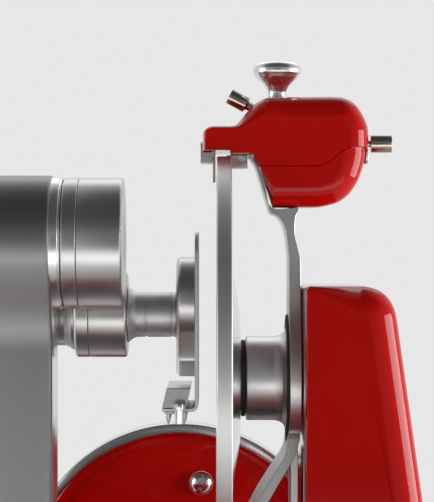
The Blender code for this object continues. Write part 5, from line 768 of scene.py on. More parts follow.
def soft_light(name, place, target, width, height, power):
    light = bpy.data.lights.new(name, "AREA")
    light.shape = "RECTANGLE"
    light.size = width
    light.size_y = height
    light.energy = power
    lamp = bpy.data.objects.new(name, light)
    lamp.location = place
    lamp.rotation_euler = (Vector(target) - Vector(place)).to_track_quat("-Z", "Y").to_euler()
    lamp.visible_camera = False
    bpy.context.scene.collection.objects.link(lamp)


def floor(settings):
    """A round pale floor under the machine, which fades into the background at its edge."""
    builder = bmesh.new()
    bmesh.ops.create_circle(builder, cap_ends=True, segments=96, radius=1.5)
    mesh = bpy.data.meshes.new("floor")
    builder.to_mesh(mesh)
    builder.free()
    ground = bpy.data.objects.new("floor", mesh)
    bpy.context.scene.collection.objects.link(ground)
    recipe = Recipe("floor")
    tree = recipe.tree
    level = settings.background
    recipe.set(Base_Color=(0.66, 0.66, 0.66, 1.0), Roughness=0.6)
    flat = recipe.node("ShaderNodeEmission", {}, {"Color": (level, level, level, 1.0)})
    parts = {name: recipe.node("ShaderNodeSeparateXYZ", {}, {0: recipe.place()}, name) for name in "XY"}
    out = (parts["X"] * parts["X"] + parts["Y"] * parts["Y"]).root()
    share = ((out - 0.42) * 1.9).clamped(0.0, 1.0)
    mix = recipe.node("ShaderNodeMixShader", {}, {0: share, 1: Socket(recipe, recipe.shader.outputs[0]),
                                                  2: flat})
    tree.links.new(mix.socket, tree.nodes["Material Output"].inputs["Surface"])
    mesh.materials.append(recipe.material)


class SLICER_OT_stage(bpy.types.Operator):
    """Adds the camera, the soft lights and the floor"""
    bl_idname = "slicer.stage"
    bl_label = "Stage"

    def execute(self, context):
        settings = context.scene.slicer_stage
        context.scene.view_settings.view_transform = "Standard"
        camera = bpy.data.cameras.new("camera")
        camera.lens = settings.camera_lens
        camera.sensor_width = 36.0
        camera.clip_end = 50.0
        holder = bpy.data.objects.new("camera", camera)
        holder.location = CENTRE + Vector((CAMERA_SIDE, -settings.camera_distance, CAMERA_RISE))
        holder.rotation_euler = (math.radians(90), 0, 0)
        context.scene.collection.objects.link(holder)
        context.scene.camera = holder
        world_light(settings)
        floor(settings)
        middle_height = CENTRE + Vector((0, 0, 0.05))
        low_place = CENTRE + Vector((0.05, -0.90, -0.355))
        soft_light("low", low_place, low_place + Vector((0, 0.25, 1)), 2.0, 0.9, settings.low_power)
        soft_light("side", CENTRE + Vector((1.5, -0.1, 0.0)), middle_height, 1.1, 0.8, settings.side_power)
        soft_light("left", CENTRE + Vector((-1.0, -0.25, 0.05)), CENTRE + Vector((0, 0.3, 0)), 0.5, 0.8,
                   settings.left_power)
        soft_light("rear", CENTRE + Vector((0.1, 1.2, 1.3)), middle_height, 1.8, 0.7, settings.rear_power)
        return {"FINISHED"}


# Knife, hub and ring


class SLICER_OT_knife(bpy.types.Operator):
    """Makes the dished knife, its domed cover and the cover's screws"""
    bl_idname = "slicer.knife"
    bl_label = "Knife"

    def execute(self, context):
        low, high = box("knife")
        radius = high.z
        face, back, edge = high.x - 0.003, high.x, low.x
        bore = 0.0113
        flat, bevel = 0.050, radius - 0.0115
        lean = (face - edge) / (bevel - flat)
        dish = bevel - flat
        outline = [(back, bore), (back, flat), (back - 0.4 * lean * dish, flat + 0.4 * dish),
                   (back - lean * dish, bevel), (edge + 0.0003, radius), (edge, radius),
                   (edge, bevel), (face, flat), (face, bore)]
        turned("ground_knife", outline, 0.0006, (1, 0, 0), (0, 0, 0), 160, "knife_unit", "knife_x", "knife",
               rounding=2, closed=True)
        low, high = box("knife_cover")
        rim = high.z
        dome = [(high.x, 0), (high.x, rim), (high.x - 0.0016, rim), (high.x - 0.0034, rim * 0.96),
                (high.x - 0.0052, rim * 0.80), (low.x + 0.0005, rim * 0.55), (low.x, rim * 0.2), (low.x, 0)]
        cover = spun(eased(dome, 0.004, 5), (1, 0, 0), (0, 0, 0), ROUND_STEPS)
        finished("domed_cover", cover, "knife_unit", "knife_x", "knife_cover")
        heads = [cap_screw((low.x + 0.0010, rim * 0.62 * math.cos(turn), rim * 0.62 * math.sin(turn)),
                           (-1, 0, 0), 0.0042, 0.0016)
                 for turn in (math.radians(90 + 120 * number) for number in range(3))]
        finished("cover_screws", merged(*heads), "knife_unit", "mirror")
        return {"FINISHED"}


class SLICER_OT_ring(bpy.types.Operator):
    """Sweeps the guard ring and stands it on its foot"""
    bl_idname = "slicer.ring"
    bl_label = "Guard ring"

    def execute(self, context):
        low, high = box("guard_ring")
        outer = -low.y
        half = (high.x - low.x) / 2
        inner = outer - 0.0144
        section = eased([(-half, inner), (half, inner), (half, outer), (-half, outer)], 0.0014, 3, True)
        start = math.radians(99)
        builder = bmesh.new()
        spoke = Vector((0, math.cos(start), math.sin(start)))
        face = builder.faces.new([builder.verts.new(Vector((x, 0, 0)) + spoke * radius)
                                  for x, radius in section])
        bmesh.ops.spin(builder, geom=[face], cent=(0, 0, 0), axis=(1, 0, 0), dvec=(0, 0, 0),
                       angle=math.radians(201), steps=134, use_merge=False, use_duplicate=False)
        foot = pushed([(-0.03, low.z), (0.03, low.z), (0.024, low.z + 0.011), (-0.024, low.z + 0.011)],
                      "X", -half, half)
        finished("swept_ring", merged(builder, foot), "base", "ring_x", "guard_ring",
                 bevel=0.0006, segments=2)
        return {"FINISHED"}


class SLICER_OT_hub(bpy.types.Operator):
    """Turns the hub and its gasket, and puts a dark ring of painted shade in the hub's neck"""
    bl_idname = "slicer.hub"
    bl_label = "Hub"

    def execute(self, context):
        low, high = box("hub_housing")
        flare = high.z
        barrel = 0.033
        reach = 0.0098
        flare_start = high.x - reach
        neck = barrel - 0.0030
        outline = [(low.x, 0.0256), (low.x, neck - 0.0008), (low.x + 0.0030, neck - 0.0008),
                   (low.x + 0.0042, barrel - 0.0004), (low.x + 0.0048, barrel), (flare_start, barrel)]
        outline += [(flare_start + reach * share, barrel + (flare - barrel) * out) for share, out in
                    ((0.25, 0.04), (0.5, 0.15), (0.7, 0.32), (0.85, 0.55), (0.95, 0.80), (1.0, 1.0))]
        outline += [(high.x, 0.0223), (low.x + 0.008, 0.0223), (low.x + 0.008, 0.0256)]
        turned("turned_hub", outline, 0.0004, (1, 0, 0), (0, 0, 0), FINE_STEPS, "base", "hub_x",
               "hub_housing", rounding=2, closed=True)
        # Painted shade: a black rubber ring sits in the groove of the hub's neck, where the groove's shade falls.
        shade_band = [(low.x + 0.0002, neck - 0.002), (low.x + 0.0002, neck), (low.x + 0.0030, neck),
                (low.x + 0.0030, neck - 0.002)]
        turned("neck_seal", shade_band, 0.0004, (1, 0, 0), (0, 0, 0), FINE_STEPS, "base", "rubber", closed=True)
        low, high = box("hub_gasket")
        ring = [(low.x, 0.013), (low.x, high.z), (high.x, high.z), (high.x, 0.013)]
        turned("flange_gasket", ring, 0.0003, (1, 0, 0), (0, 0, 0), FINE_STEPS, "base", "rubber",
               "hub_gasket", rounding=2, closed=True)
        return {"FINISHED"}


ARM_STATIONS = (
    (0.240, 1.0, 0.288, 1.0), (0.350, 0.9766, 0.396, 0.9766), (0.450, 0.930, 0.498, 0.930),
    (0.546, 0.8839, 0.594, 0.885), (0.577, 0.874, 0.981, 0.885), (0.663, 0.8684, 0.958, 0.8690),
    (0.744, 0.8543, 0.938, 0.8480), (0.804, 0.8304, 0.945, 0.8200), (0.838, 0.7909, 0.985, 0.7850),
    (0.85, 0.7571, 1.0, 0.7571), (0.85, 0.60, 1.0, 0.60), (0.85, 0.4303, 1.0, 0.4303),
    (0.835, 0.390, 0.990, 0.390), (0.792, 0.35, 0.962, 0.357), (0.66, 0.3178, 0.835, 0.3204),
    (0.579, 0.2984, 0.725, 0.2950), (0.346, 0.2415, 0.49, 0.2344), (0.115, 0.1654, 0.279, 0.1598),
    (0.03, 0.115, 0.205, 0.112), (0.0, 0.0809, 0.183, 0.0809), (0.0, 0.0301, 0.231, 0.0301),
)


ARM_FOOT = 0.052


def arm_half_width(height, boss):
    """Half of the arm's width: a round boss at the knife's axis, narrower above, wider at the foot."""
    leaves = boss * 0.766
    if abs(height) < leaves:
        return math.sqrt(boss * boss - height * height)
    away = min((abs(height) - leaves) / 0.13, 1.0)
    return boss * (0.62 - 0.20 * away if height > 0 else 0.70 + 0.26 * away)


class SLICER_OT_arm(bpy.types.Operator):
    """Lofts the bent support arm and adds its stay and foot screws"""
    bl_idname = "slicer.arm"
    bl_label = "Support arm"

    def execute(self, context):
        low, high = box("support_arm")
        reach = box("upright_housing")[0].x - 0.0009
        wide, tall = high.x - low.x, high.z - low.z
        builder = bmesh.new()
        rings = []
        for left, left_up, right, right_up in flowing(ARM_STATIONS, 4):
            left_z, right_z = low.z + tall * left_up, low.z + tall * right_up
            half_left = arm_half_width(left_z, high.y)
            half_right = arm_half_width(right_z, high.y)
            right_x = low.x + wide * right
            near_housing = min(max((right - 0.93) / 0.07, 0.0), 1.0) * float(0.38 < right_up < 0.82)
            right_x += (reach - high.x) * near_housing
            corners = [(low.x + wide * left, -half_left, left_z), (right_x, -half_right, right_z),
                       (right_x, half_right, right_z), (low.x + wide * left, half_left, left_z)]
            points = [builder.verts.new(corner) for corner in corners]
            rings.append([builder.edges.new(pair) for pair in zip(points, points[1:] + points[:1])])
            if len(rings) == 1:
                builder.faces.new(points)
        bridged(builder, rings)
        sole = low.z + 0.0107
        foot = pushed([(-ARM_FOOT, low.z), (ARM_FOOT, low.z), (ARM_FOOT, sole), (-ARM_FOOT, sole)], "X", low.x,
                      high.x - 0.008)
        stay = pushed([(high.x - 0.006, low.z), (high.x, low.z), (high.x, low.z + tall * 0.35),
                       (high.x - 0.006, low.z + tall * 0.35)], "Y", -0.010, 0.040)
        arm = finished("bent_arm", merged(builder, foot, stay), "base", "cast", "support_arm",
                       bevel=0.0012, segments=3)
        arm.data.set_sharp_from_angle(angle=math.radians(50))
        arm.modifiers["edging"].angle_limit = math.radians(50)
        spots = [(low.x + wide * along, side * 0.042, sole) for along in (0.45, 0.75)
                 for side in (-1, 1)]
        heads = [cap_screw(spot, (0, 0, 1), context.scene.slicer_sizes.screw_radius, 0.004)
                 for spot in spots]
        finished("arm_screws", merged(*heads), "base", "mirror")
        return {"FINISHED"}


# Red castings


def cornered(low_x, high_x, low_y, high_y, radius, steps=10):
    outline = []
    for x, y, start in ((low_x + radius, low_y + radius, 180), (high_x - radius, low_y + radius, 270),
                        (high_x - radius, high_y - radius, 0), (low_x + radius, high_y - radius, 90)):
        outline += arc((x, y), radius, math.radians(start), math.radians(start + 90), steps)
    return outline


class SLICER_OT_base(bpy.types.Operator):
    """Lofts the red base with its skirt and rounded shoulder, and adds its plate, feet and lugs"""
    bl_idname = "slicer.base"
    bl_label = "Base"

    def execute(self, context):
        low, high = box("base_casting")
        top = box("upright_housing")[0].z - 0.0003
        corner = 0.045
        skirt = low.z + 0.018
        shoulder = top - 0.019
        levels = [(low.z, 0.0015), (low.z + 0.0015, 0.0), (skirt - 0.004, 0.0), (skirt - 0.001, 0.001)]
        levels += [(skirt + 0.0005, 0.0035), (skirt + 0.0045, 0.0085), (skirt + 0.010, 0.010)]
        levels += [(shoulder + 0.019 * math.sin(turn), 0.010 + 0.0125 * (1 - math.cos(turn)))
                   for turn in (math.pi / 2 * step / 10 for step in range(11))]
        builder = bmesh.new()
        rings = []
        for height, inset in levels:
            outline = cornered(low.x + inset, high.x - inset, low.y + inset, high.y - inset, corner - inset)
            points = [builder.verts.new((x, y, height)) for x, y in outline]
            rings.append([builder.edges.new(pair) for pair in zip(points, points[1:] + points[:1])])
            if height in (levels[0][0],) or inset == levels[-1][1]:
                builder.faces.new(points)
        bridged(builder, rings)
        finished("lofted_base", builder, "base", "enamel", "base_casting", weighted=True)
        self.lugs(top)
        plate_low, plate_high = box("base_plate")
        plate = pushed(cornered(plate_low.x, plate_high.x, plate_low.y, plate_high.y, corner - 0.004), "Z",
                       plate_low.z, plate_high.z)
        finished("bottom_plate", plate, "base", "sheet", "base_plate", bevel=0.0006, segments=2)
        for number in range(1, 5):
            foot_low, foot_high = box(f"rubber_foot_{number}")
            radius = (foot_high.x - foot_low.x) / 2
            centre = middle(f"rubber_foot_{number}")
            outline = [(foot_low.z, 0), (foot_low.z, radius * 0.72), (foot_low.z + 0.003, radius * 0.82),
                       (foot_high.z - 0.004, radius), (foot_high.z, radius), (foot_high.z, 0)]
            foot = spun(eased(outline, 0.0012, 3), (0, 0, 1), (centre.x, centre.y, 0), SMALL_STEPS)
            finished(f"moulded_foot_{number}", foot, "base", "rubber", f"rubber_foot_{number}")
        return {"FINISHED"}

    def lugs(self, top):
        """The cast lugs that carry the rails' ends and the gauge screw."""
        rail_low, rail_high = box("carriage_rail_left")
        right = box("carriage_rail_right")[1].x + 0.010
        left = rail_low.x - 0.010
        crown = rail_high.z + 0.004
        sunk = top - 0.002
        outline = eased([(left, sunk), (right, sunk), (right, crown), (left, crown)], 0.007, 6, True)
        near = pushed(outline, "Y", rail_low.y, rail_low.y + 0.012)
        far = pushed(outline, "Y", rail_high.y - 0.012, rail_high.y)
        block_low, block_high = box("gauge_plate")
        screw = middle("gauge_screw")
        near_y, far_y = screw.y - 0.015, screw.y + 0.015
        seat = block_low.z - 0.0003
        guide = pushed([(near_y, sunk), (far_y, sunk), (far_y, seat), (near_y, seat)], "X",
                       block_low.x + 0.0033, block_low.x + 0.0733)
        stand_outline = eased([(near_y, sunk), (far_y, sunk), (far_y, screw.z + 0.0096),
                               (near_y, screw.z + 0.0096)], 0.009, 6, True)
        stand = pushed(stand_outline, "X", 0.120, 0.135)
        finished("cast_lugs", merged(near, far, guide, stand), "base", "enamel", bevel=0.0012)


class SLICER_OT_housing(bpy.types.Operator):
    """Makes the tall red housing with its sloping side and round edges"""
    bl_idname = "slicer.housing"
    bl_label = "Upright housing"

    def execute(self, context):
        low, high = box("upright_housing")
        edge = context.scene.slicer_sizes.casting_edge
        top_right = low.x + 0.0674
        corners = [(low.x, low.z), (high.x, low.z), (top_right, high.z), (low.x, high.z)]
        slope = (Vector(corners[1]) - Vector(corners[2])).normalized()
        reach = 0.026
        far_round = [tuple(Vector(corners[2]) + slope * reach), corners[2],
                     (top_right - reach, high.z)]
        curve = []
        steps = 14
        for step in range(steps + 1):
            share = step / steps
            first = Vector(far_round[0]).lerp(Vector(far_round[1]), share)
            second = Vector(far_round[1]).lerp(Vector(far_round[2]), share)
            curve.append(tuple(first.lerp(second, share)))
        near = arc((low.x + 0.004, high.z - 0.004), 0.004, math.radians(90), math.radians(180), 5)
        foot = flowing([corners[1], tuple(Vector(corners[1]).lerp(Vector(curve[0]), 0.5)), curve[0]], 6)
        left = [(low.x, high.z - 0.004 - (high.z - low.z - 0.004) * step / 12) for step in range(13)]
        outline = [corners[1]] + foot[1:-1] + curve + near[:-1] + left
        shares = [0.1 + 0.9 * min(max((x - low.x) / 0.03, 0.0), 1.0) ** 1.5 for x, _ in outline]
        builder = cushion(outline, shares, "Y", low.y, high.y, edge, 10)
        cut = bmesh.ops.bisect_plane(builder, geom=builder.verts[:] + builder.edges[:] + builder.faces[:],
                                     plane_co=(0, 0, low.z + 0.0001), plane_no=(0, 0, -1), clear_outer=True)
        rim = [part for part in cut["geom_cut"] if isinstance(part, bmesh.types.BMEdge)]
        bmesh.ops.edgeloop_fill(builder, edges=rim)
        finished("red_housing", builder, "base", "enamel", "upright_housing", weighted=True)
        return {"FINISHED"}


COVER_CURVE = (
    (0.0, 0.219), (0.0, 0.300), (0.0, 0.370), (0.0, 0.425), (0.0, 0.465), (0.0055, 0.507), (0.0215, 0.548),
    (0.044, 0.574), (0.072, 0.582),
    (0.120, 0.582), (0.177, 0.584),
    (0.206, 0.612), (0.250, 0.735), (0.297, 0.862), (0.340, 0.938), (0.385, 0.988), (0.440, 1.0),
    (0.620, 1.0), (0.800, 1.0), (0.870, 0.970), (0.925, 0.885), (0.968, 0.733), (0.992, 0.60),
    (1.0, 0.49), (1.0, 0.276),
)
COVER_UNDERSIDE = ((0.165, 0.219), (0.165, 0.177), (0.297, 0.177), (0.345, 0.0))
COVER_BEND = ((0.66, 0.0), (0.93, 0.276))
LOWER_CURVE = (
    (1.0, 1.467), (0.994, 1.24), (0.978, 1.028), (0.950, 0.80), (0.921, 0.625), (0.865, 0.395),
    (0.802, 0.233), (0.735, 0.125), (0.661, 0.063), (0.575, 0.015), (0.49, 0.0), (0.30, 0.0), (0.118, 0.0),
)
LOWER_RISE = 1.467


class SLICER_OT_sharpener(bpy.types.Operator):
    """Makes the sharpener's two red castings, its knobs, its catch and its stones"""
    bl_idname = "slicer.sharpener"
    bl_label = "Sharpener"

    def execute(self, context):
        edge = context.scene.slicer_sizes.cover_edge
        low, high = box("sharpener_cover")
        size = high - low

        def placed(shares, corner, span):
            return [(corner.x + span.x * across, corner.z + span.y * up) for across, up in shares]

        crown = placed(COVER_CURVE, low, Vector((size.x, size.z)))
        span = Vector((size.x, size.z))
        smooth_crown = flowing(crown, 4)
        line = eased([(low.x, crown[0][1])] + placed(COVER_UNDERSIDE, low, span), 0.002, 3)
        turn = placed(COVER_BEND, low, span)
        line += bent(turn[0], (1, 0), turn[1], (1, 0), 20) + [crown[-1]]
        neck = low.x + size.x * 0.24
        crest = (low.x + size.x * 0.42, low.x + size.x * 0.80)
        depths = [NOSE_EDGE if point[0] < neck else
                  edge * (1.4 if crest[0] < point[0] < crest[1] else 0.95) for point in smooth_crown]
        cover = self.casting(smooth_crown, line, depths, low, high, upper=True)
        finished("cast_cover", cover, "base", "enamel", "sharpener_cover", weighted=True)
        low, high = box("sharpener_housing")
        span = Vector((high.x - low.x, (high.z - low.z) / LOWER_RISE))
        turn = [(turn[0][0], low.z + span.y), (turn[1][0], high.z)]
        line = placed([(0.0, 1.0)], low, span) + bent(turn[0], (1, 0), turn[1], (1, 0), 20)
        line += placed(LOWER_CURVE[:1], low, span)
        smooth_curve = flowing(placed(LOWER_CURVE, low, span), 4)
        depths = [edge * 1.1] * len(smooth_curve)
        lower = self.casting(smooth_curve, line, depths, low, high, upper=False)
        # Painted shade: a thin black rubber band along the parting line stands for the shade in the gap between
        # the two castings.
        band = [(x, z) for x, z in line if low.x + 0.004 < x < high.x - 0.011]
        shade_band = pushed([(x, z - 0.0008) for x, z in band] + [(x, z + 0.0010) for x, z in reversed(band)], "Y",
                      low.y + 0.004, high.y - 0.004)
        finished("cover_seal", shade_band, "base", "rubber")
        finished("cast_lower", lower, "base", "enamel", "sharpener_housing", weighted=True)
        self.knobs()
        self.holders(context)
        return {"FINISHED"}

    def casting(self, outside, line, depths, low, high, upper):
        """A slab that is rounded along its outside curve and cut off sharp along its parting line."""
        for _ in range(30):
            evened = [(a + b + c) / 3 for a, b, c in zip(depths, depths[1:], depths[2:])]
            depths = [depths[0]] + evened + [depths[-1]]
        if upper:
            depths = [min(deep, NOSE_EDGE + max(x - low.x - 0.009, 0.0) * 0.7)
                      for deep, (x, _) in zip(depths, outside)]
        deepest = max(depths)
        shares = [depth / deepest for depth in depths]
        before = (outside[0][0], outside[0][1] + (-1 if upper else 1) * 0.001)
        foot, top = outside[-1], line[0]
        after = (outside[-1][0], outside[-1][1] - 0.001) if upper else (foot[0] - 0.001, foot[1])
        shares = [shares[0]] + shares + [shares[-1]]
        outlines = []
        for along, inset in rounded_levels(low.y, high.y, min(deepest, (high.y - low.y) * 0.42), 12):
            moved = inward([before] + outside + [after], inset * deepest, shares)[1:-1]
            if not upper:
                moved = [(max(x, top[0] + (foot[0] - top[0]) * (top[1] - z) / (top[1] - foot[1])), z)
                         for x, z in moved]
            keep = max if upper else min
            lift = 0.0004 * inset ** 6 * (1 if upper else -1)
            curve = [(x, keep(z, height_on(line, x) + lift)) for x, z in moved]
            left, right = min(curve[0][0], curve[-1][0]), max(curve[0][0], curve[-1][0])
            left = left if upper else line[0][0]
            across = [min(max(x, left), right) for x, _ in line]
            parting = [(x, height_on(line, x) + lift) for x in across]
            outlines.append((along, curve + (list(reversed(parting)) if upper else parting)))
        return layered(outlines, "Y")

    def knobs(self):
        low, high = box("mushroom_knob")
        centre = middle("mushroom_knob")
        radius = (high.x - low.x) / 2
        start = box("sharpener_cover")[1].z
        tall = high.z - start
        head = [(start + tall * up, radius * out) for up, out in
                ((0.0, 0.39), (0.09, 0.375), (0.18, 0.385), (0.28, 0.45), (0.37, 0.53), (0.49, 0.72),
                 (0.57, 0.84), (0.65, 0.92), (0.72, 0.99), (0.79, 1.0), (0.86, 0.985), (0.93, 0.93),
                 (0.98, 0.82), (1.0, 0.70))]
        outline = [(start - 0.002, 0), (start - 0.002, radius * 0.39)] + flowing(head, 4)
        outline += [(high.z - 0.0002, radius * 0.35), (high.z - 0.0003, 0)]
        finished("turned_mushroom", spun(outline, (0, 0, 1), (centre.x, centre.y, 0), 96),
                 "sharpener_lock", "bright", "mushroom_knob")
        low, high = box("grinding_plunger")
        centre = middle("grinding_plunger")
        radius = (high.z - low.z) / 2
        knob = high.x - 0.0166
        outline = [(low.x, 0), (low.x, 0.0026), (knob, 0.0026), (knob, radius), (high.x, radius),
                   (high.x, radius * 0.62), (high.x - 0.0010, radius * 0.56), (high.x - 0.0010, 0)]
        turned("right_button", outline, 0.0005, (1, 0, 0), (0, 0, centre.z), 64, "grinding_button", "nickel",
               "grinding_plunger")
        axis = next(Vector(joint["axis"]) for joint in frame["joints"] if joint["name"] == "honing_push")
        place = next(Vector(joint["pos_m"]) for joint in frame["joints"]
                     if joint["name"] == "honing_push") - CENTRE
        outline = [(-0.012, 0), (-0.012, 0.0035), (0.001, 0.0035), (0.0022, 0.0048), (0.0022, 0.0063),
                   (0.0174, 0.0063), (0.0174, 0.0040), (0.0166, 0.0036), (0.0166, 0)]
        turned("left_button", outline, 0.0004, axis, place, 64, "honing_button", "nickel", "honing_plunger")

    def holders(self, context):
        edge = context.scene.slicer_sizes.fine_edge
        for node, name in (("honing_holder", "honing_bracket"), ("grinding_holder", "grinding_bracket"),
                           ("clamp_tab", "catch_tab")):
            finish = "ring_flat" if node == "clamp_tab" else "cast"
            finished(name, refined(node), "base", finish, node, bevel=edge, segments=2)
        low, high = box("honing_stone")
        centre = middle("honing_stone")
        radius = (high.z - low.z) / 2
        outline = [(low.x, 0), (low.x, 0.002), (high.x - 0.002, 0.002), (high.x - 0.002, radius),
                   (high.x, radius * 0.94), (high.x, 0)]
        turned("honing_disc", outline, 0.0003, (1, 0, 0), (0, 0, centre.z), 64, "honing_wheel", "stone",
               "honing_stone", rounding=2)
        low, high = box("grinding_stone")
        centre = middle("grinding_stone")
        radius = (high.z - low.z) / 2
        outline = [(low.x, 0), (low.x, radius * 0.9), (low.x + 0.0028, radius), (low.x + 0.0028, 0.002),
                   (high.x, 0.002), (high.x, 0)]
        turned("grinding_disc", outline, 0.0003, (1, 0, 0), (0, 0, centre.z), 64, "grinding_wheel", "stone",
               "grinding_stone", rounding=2)


# Meat press


class SLICER_OT_column(bpy.types.Operator):
    """Makes the press column, its boss and its pivot pin"""
    bl_idname = "slicer.column"
    bl_label = "Press column"

    def execute(self, context):
        low, high = box("press_column")
        pin_low, pin_high = box("pivot_pin")
        pivot = middle("pivot_pin")
        side = low.x + 0.046
        half = 0.0285
        head = 0.051
        shoulder = pivot.z - 0.061
        spread = math.radians(20)
        leave = arc((pivot.y, pivot.z), head, math.pi + spread, math.pi + spread, 1)[0]
        way = (math.sin(spread), -math.cos(spread))
        near = bent((pivot.y - half, shoulder - 0.02), (0, 1), leave, (-way[0], -way[1]), 14)
        outline = [(pivot.y - half, low.z)] + near[:-1]
        outline += arc((pivot.y, pivot.z), head, math.pi + spread, -spread, 72)
        outline += [(2 * pivot.y - y, z) for y, z in reversed(near[:-1])]
        outline += [(pivot.y + half, low.z)]
        builder = pushed(outline, "X", low.x, side)
        rims = [e for e in builder.edges if abs(e.verts[0].co.x - e.verts[1].co.x) < 0.00001
                and max(v.co.z for v in e.verts) > low.z + 0.001]
        bmesh.ops.bevel(builder, geom=rims, offset=0.004, segments=5, profile=0.5, affect="EDGES",
                        material=-1, clamp_overlap=True)
        column = finished("polished_column", builder, "press_stand", "column", "press_column")
        # Painted light: faces that point along X (the column's flat sides and the last strip of their rounding)
        # take the bright satin metal as a painted highlight from the side lamps. The front keeps the darker column
        # metal as painted shade.
        column.data.materials.append(FINISHES["bright"][0](column))
        for face in column.data.polygons:
            face.material_index = int(abs(face.normal.x) > 0.9)
        face = [(side - 0.002, 0.013), (side - 0.002, 0.0500), (high.x - 0.0014, 0.0500),
                (high.x - 0.0014, 0.0492), (high.x, 0.0492), (high.x, 0.013)]
        turned("column_boss", face, 0.0005, (1, 0, 0), (0, pivot.y, pivot.z), FINE_STEPS, "press_stand",
               "bright", closed=True)
        radius = (pin_high.z - pin_low.z) / 2
        pin = [(pin_low.x + 0.0016, 0), (pin_low.x + 0.0016, radius * 0.42), (pin_low.x, radius * 0.46),
               (pin_low.x, radius * 0.88), (pin_low.x + 0.002, radius), (pin_low.x + 0.005, radius),
               (pin_low.x + 0.005, 0.012), (pin_high.x, 0.012), (pin_high.x, 0)]
        turned("pivot_bolt", pin, 0.0006, (1, 0, 0), (0, pivot.y, pivot.z), ROUND_STEPS, "press_stand",
               "press_x", "pivot_pin")
        return {"FINISHED"}


class SLICER_OT_link(bpy.types.Operator):
    """Turns the press link's drum, sleeve and end caps and joins them with a web"""
    bl_idname = "slicer.link"
    bl_label = "Press link"

    def execute(self, context):
        low, high = box("press_link")
        pivot = middle("pivot_pin")
        tilt = middle("gripper_spindle")
        drum = 0.0492
        start = box("link_cap")[1].x + 0.0003
        outline = [(start, 0.0126), (start, drum), (high.x - 0.0016, drum),
                   (high.x - 0.0008, drum - 0.0003), (high.x - 0.0003, drum - 0.0008),
                   (high.x, drum - 0.0020), (high.x, drum * 0.42), (high.x - 0.0004, drum * 0.40),
                   (high.x - 0.0004, 0)]
        drum_part = spun(eased(outline, 0.0004, 2), (1, 0, 0), (0, pivot.y, pivot.z), FINE_STEPS)
        sleeve_low = box("spindle_cap")[1].x + 0.0003
        sleeve_high = sleeve_low + 0.0293
        radius = 0.0335
        sleeve = [(sleeve_low, 0.0142), (sleeve_low, radius), (sleeve_high - 0.0016, radius),
                  (sleeve_high - 0.0006, radius - 0.0005), (sleeve_high, radius - 0.0018),
                  (sleeve_high, 0.0142)]
        sleeve_part = spun(eased(sleeve, 0.0005, 3, True), (1, 0, 0), (0, tilt.y, tilt.z), 112, closed=True)
        finished("link_drum", drum_part, "press_arm", "press_x", "press_link")
        finished("link_sleeve", sleeve_part, "press_arm", "press_x")
        finished("link_web", self.web(pivot, tilt), "press_arm", "press_flat", bevel=0.003, segments=4)
        cap_low, cap_high = box("link_cap")
        cap = [(cap_low.x, 0.0126), (cap_low.x, drum - 0.0014), (cap_low.x + 0.0014, drum),
               (cap_high.x - 0.0006, drum), (cap_high.x, drum - 0.0006), (cap_high.x, 0.0126)]
        turned("drum_cap", cap, 0.0005, (1, 0, 0), (0, pivot.y, pivot.z), FINE_STEPS, "press_arm", "press_x",
               "link_cap", closed=True)
        cap_low, cap_high = box("spindle_cap")
        cap = [(cap_low.x, 0.0142), (cap_low.x, radius - 0.0016), (cap_low.x + 0.0016, radius),
               (cap_high.x - 0.0005, radius), (cap_high.x, radius - 0.0005), (cap_high.x, 0.0142)]
        turned("sleeve_cap", cap, 0.0005, (1, 0, 0), (0, tilt.y, tilt.z), 112, "press_arm", "press_x",
               "spindle_cap", closed=True)
        return {"FINISHED"}

    def web(self, pivot, tilt):
        drum = Vector((pivot.y, pivot.z))
        sleeve = Vector((tilt.y, tilt.z))
        along = (sleeve - drum).normalized()
        across = Vector((-along.y, along.x))
        start = drum + along * 0.030
        end = sleeve - along * 0.024
        corners = (start + across * 0.026, end + across * 0.022, end - across * 0.012,
                   start - across * 0.016)
        return pushed([tuple(corner) for corner in corners], "X", -0.103, -0.083)


